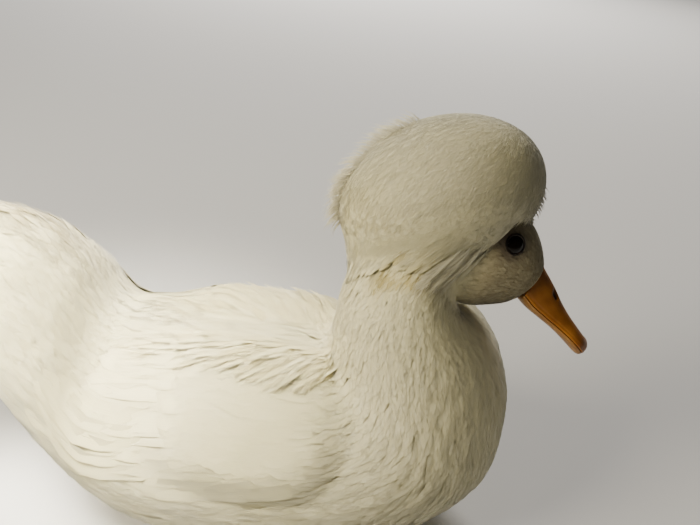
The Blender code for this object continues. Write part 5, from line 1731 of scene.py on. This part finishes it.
def make_feet(finish, claw_finish):
    """Each webbed foot flat on the floor: tarsus, three webbed toes and a hind toe, with scaled backs."""
    for side_name, sign in SIDES:
        points, faces = [], []

        def join(part):
            start = len(points)
            points.extend(part[0].tolist())
            faces.extend(tuple(start + i for i in face) for face in part[1])

        ankle = np.array((ANKLE[0], sign * ANKLE[1], ANKLE[2]))
        root = np.array((TOE_ROOT[0], sign * TOE_ROOT[1], TOE_ROOT[2]))
        share = np.linspace(0, 1, 33)
        heel, instep = ankle + (-0.005, 0, 0), root + (0.007, 0, -0.0015)
        spine = np.array((heel, ankle, (ankle + root) / 2, root, instep))
        keys = (0.0, 0.09, 0.48, 0.87, 1.0)
        path = np.stack([profile(share, keys, spine[:, c]) for c in range(3)], axis=1)
        join(tube(path, profile(share, keys, (0.0040, 0.0058, 0.0043, 0.0054, 0.0030)), 20))
        ends = []
        for name, heading, length in TOES:
            angle = math.radians(heading) * sign
            end = root + np.array((length * math.cos(angle), length * math.sin(angle), 0.0))
            reach = np.linspace(0, 1, 41)
            path = root + (end - root) * reach[:, None]
            path[:, 2] = TOE_RADIUS * (1.10 - 0.42 * reach)
            swell = (1.05, 0.90, 1.08, 0.82, 0.98, 0.76, 0.58)
            joint = profile(reach, (0.0, 0.24, 0.34, 0.52, 0.66, 0.90, 1.0), swell)
            scales = 0.00008 * np.sin(reach * 110)
            join(tube(path, TOE_RADIUS * joint + scales, 16))
            ends.append((name, path[-1], unit(path[-1] - path[-2])))
        back = root + np.array((-0.013, -sign * 0.008, -0.0015))
        path = root + (back - root) * np.linspace(0, 1, 9)[:, None]
        join(tube(path, np.linspace(0.0030, 0.0022, 9), 14))
        ends.append(("hind", back, unit(back - root)))
        join(web(sign, root))
        foot = mesh_piece("foot_hide_" + side_name, points, faces, finish)
        step = foot.modifiers.new("one_skin", "REMESH")
        step.mode = "VOXEL"
        step.voxel_size = FOOT_VOXEL
        soften = foot.modifiers.new("soften", "SMOOTH")
        soften.factor, soften.iterations = 0.5, 3
        graph = bpy.context.evaluated_depsgraph_get()
        mesh = bpy.data.meshes.new_from_object(foot.evaluated_get(graph))
        foot.modifiers.clear()
        foot.data = mesh
        for vertex in mesh.vertices:
            vertex.co.z = max(vertex.co.z, 0.0)
        mesh.shade_smooth()
        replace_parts(foot, "foot_" + side_name)
        for name, end, forward in ends:
            make_claw(name, side_name, end, forward, claw_finish)


def web(sign, root):
    """The thin skin between the front toes, with a hollow edge and soft folds along the toes."""
    inner, outer = TOES[0], TOES[-1]
    points, faces, columns, rows = [], [], 36, 14
    for layer in (1, -1):
        for i in range(columns + 1):
            share = i / columns
            heading = inner[1] + (outer[1] - inner[1]) * share
            reach = float(profile(heading, [t[1] for t in TOES], [t[2] for t in TOES]))
            hollow = 0.18 * math.sin(math.pi * ((share * 2) % 1.0))
            angle = math.radians(heading) * sign
            for j in range(rows + 1):
                length = reach * (0.95 - hollow) * j / rows
                fold = 0.0002 * math.sin(share * 40) * j / rows
                z = WEB_LEVEL + layer * WEB_HALF_THICKNESS + fold
                points.append((root[0] + length * math.cos(angle), root[1] + length * math.sin(angle), z))
    each = (columns + 1) * (rows + 1)
    for i in range(columns):
        for j in range(rows):
            a, b = i * (rows + 1) + j, (i + 1) * (rows + 1) + j
            faces += [(a, b, b + 1, a + 1), (each + a, each + a + 1, each + b + 1, each + b)]
    rim = [j for j in range(rows + 1)] + [i * (rows + 1) + rows for i in range(1, columns + 1)]
    rim += [columns * (rows + 1) + j for j in range(rows - 1, -1, -1)]
    rim += [i * (rows + 1) for i in range(columns - 1, 0, -1)]
    for a, b in zip(rim, rim[1:] + rim[:1]):
        faces.append((a, b, each + b, each + a))
    return np.array(points), faces


def make_claw(name, side_name, end, forward, finish):
    share = np.linspace(0, 1, 13)
    radius = profile(share, (0.0, 0.35, 0.7, 1.0), (0.0017, 0.00146, 0.0009, 0.0003))
    path = end + forward * (0.0003 + CLAW_LENGTH * share)[:, None]
    path[:, 2] = np.maximum(end[2] + 0.0003 - 0.0012 * share**2, radius + 0.0002)
    points, faces = tube(path, radius, 12)
    claw = mesh_piece("claw_horn_" + name + "_" + side_name, points, faces, finish)
    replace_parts(claw, "claw_" + name + "_" + side_name)


def place_camera():
    azimuth, elevation = CAMERA_AZIMUTH, CAMERA_ELEVATION
    level = math.cos(elevation)
    back = Vector((math.sin(azimuth) * level, -math.cos(azimuth) * level, math.sin(elevation)))
    right = Vector((0, 0, 1)).cross(back).normalized()
    up = back.cross(right)
    turned = right * math.cos(CAMERA_ROLL) + up * math.sin(CAMERA_ROLL)
    upright = up * math.cos(CAMERA_ROLL) - right * math.sin(CAMERA_ROLL)
    camera = bpy.data.objects.new("camera", bpy.data.cameras.new("camera"))
    frame = Matrix((turned, upright, back)).transposed().to_4x4()
    frame.translation = Vector(CAMERA_TARGET) + back * CAMERA_DISTANCE
    camera.matrix_world = frame
    camera.data.sensor_width = 36
    camera.data.lens = CAMERA_LENS
    camera.data.clip_start = 0.01
    bpy.context.scene.collection.objects.link(camera)
    bpy.context.scene.camera = camera


def place_lamp(name, place, width, power, colour, aimed_at, spread):
    light = bpy.data.lights.new(name, "AREA")
    light.shape = "DISK"
    light.size, light.energy, light.color = width, power, colour
    light.spread = math.radians(spread)
    lamp = bpy.data.objects.new(name, light)
    lamp.location = place
    lamp.visible_glossy = name == "key"
    lamp.visible_camera = False
    aim = Vector(aimed_at) - Vector(place)
    lamp.rotation_euler = aim.to_track_quat("-Z", "Y").to_euler()
    bpy.context.scene.collection.objects.link(lamp)


def stage():
    """A pale floor, soft studio light from the upper left, and the camera at the photograph's angle."""
    size = FLOOR_HALF
    floor = bpy.data.meshes.new("studio_floor")
    corners = [(-size, -size, 0), (size, -size, 0), (size, size, 0), (-size, size, 0)]
    floor.from_pydata(corners, [], [(0, 1, 2, 3)])
    floor.materials.append(material("studio_floor", FLOOR_COLOUR, 0.85))
    ground = bpy.data.objects.new("studio_floor", floor)
    bpy.context.scene.collection.objects.link(ground)
    place_camera()
    for lamp in LAMPS:
        place_lamp(*lamp)
    world = bpy.data.worlds.new("studio")
    world.use_nodes = True
    background = world.node_tree.nodes["Background"]
    background.inputs[0].default_value = (*WORLD_COLOUR, 1)
    background.inputs[1].default_value = WORLD_LIGHT
    bpy.context.scene.world = world
    world.cycles_visibility.glossy = False


def main():
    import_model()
    down = material("down", (0.80, 0.75, 0.62), 0.9, down_nodes)
    soft = material("body_plumage", CREAM, 0.75, feather_nodes(9.0, 0.00020, 0.30, 0.0016))
    fine = material("face_plumage", CREAM, 0.8, feather_nodes(5.0, 0.0001, 0.12, 0.0006))
    crest = material("crest_plumage_look", CREAM, 0.78, feather_nodes(10.0, 0.00014, 0.40, 0.0026))
    flight = material("flight_plumage", IVORY, 0.62, feather_nodes(16.0, 0.00030, 0.22, 0.0010))
    # The bill's orange is set darker than its own tone: partly painted shade.
    orange = horn_nodes((0.17, 0.058, 0.007), (0.26, 0.098, 0.013))
    under = horn_nodes((0.27, 0.12, 0.024), (0.36, 0.18, 0.045))
    scaly = hide_nodes(120.0, (0.50, 0.19, 0.02), (0.64, 0.29, 0.045), 620.0, 0.8)
    horn = hide_nodes(400.0, (0.52, 0.42, 0.30), (0.70, 0.60, 0.46), 2000.0, 0.1)
    rim = hide_nodes(300.0, (0.012, 0.008, 0.006), (0.034, 0.024, 0.016), 1500.0, 0.4)
    make_skin(down)
    body_coat("rump_feathers", 11, 0.0, 4.0, soft, "plumage", bare, 3)
    body_coat("flank_feathers", 12, 4.0, 7.6, soft, "plumage", bare, 3)
    body_coat("breast_feathers", 13, 7.6, 10.3, soft, "plumage", bare, 3)
    body_coat("neck_feathers", 14, 10.3, 14.6, soft, "plumage", under_crest, 2, 1.05, FINE_VANE_THICKNESS)
    body_coat(
        "head_feathers", 15, 14.6, BODY_END, fine, "plumage", clear_of_eyes, 2, 1.30, FINE_VANE_THICKNESS
    )
    make_leg_coat(soft)
    make_fine_barbs("rump_barbs", 21, 0.1, 7.6, 2.0, 0.42, 0.00012, soft, bare)
    make_fine_barbs("breast_barbs", 22, 7.6, 14.6, 2.1, 0.50, 0.00009, soft, bare_under_crest)
    make_fine_barbs("face_barbs", 23, 14.9, BODY_END - 0.1, 1.6, 0.70, 0.00006, fine, clear_of_eyes)
    make_fluff(soft)
    make_rump_tufts(soft)
    tree = body_tree()
    make_crest_down(down)
    make_crest(crest, tree)
    make_crest_barbs(crest, tree)
    make_nape(crest, tree)
    make_loose_plumes(crest)
    for side_name, side in SIDES:

        def winged(u, v, side=side):
            return (wing_share(u, v) > 0.02) & (np.sin(v) * side > 0)

        body_coat("wing_coverts_" + side_name, 16, 3.4, 9.6, flight, "wing_plumage", winged, 2, 0.8)
        make_fine_barbs("wing_barbs_" + side_name, 24, 3.4, 9.6, 1.7, 0.42, BARB_THICKNESS, flight, winged)
        make_flight(side_name, side, flight)
        make_scapulars(side_name, side, flight)
    make_tail(flight)
    make_bill(
        material("bill_horn", (0.5, 0.2, 0.015), 0.42, orange),
        material("bill_under", (0.5, 0.3, 0.07), 0.45, under),
    )
    make_eyes(
        material("wet_eye", (0.01, 0.007, 0.005), 0.14, eye_nodes),
        material("lid_skin", (0.1, 0.07, 0.05), 0.5, rim),
    )
    make_feet(
        material("foot_hide", (0.6, 0.25, 0.04), 0.5, scaly),
        material("claw_horn", (0.6, 0.5, 0.38), 0.35, horn),
    )
    stage()


def bare(u, v):
    """Places on the body that no wing covers."""
    return wing_share(u, v) <= 0.02


def in_crest(points):
    return np.linalg.norm(in_dome(points), axis=-1) < 0.90


def under_crest(u, v):
    """Places on the neck that show outside the globe."""
    return ~in_crest(body_point(u, v))


def bare_under_crest(u, v):
    """Places on the body and neck that neither a wing nor the globe covers."""
    return bare(u, v) & under_crest(u, v)


def clear_of_eyes(u, v):
    """Places on the head outside the globe that no eye takes."""
    points = body_point(u, v)
    local = in_head(points)
    off = np.hypot(local[:, 0] - EYE_CENTRE[0] - 0.0006, local[:, 2] - EYE_CENTRE[2] - 0.0004)
    return ~in_crest(points) & ((off > EYE_RADIUS + 0.0009) | (np.abs(local[:, 1]) < 0.008))


main()
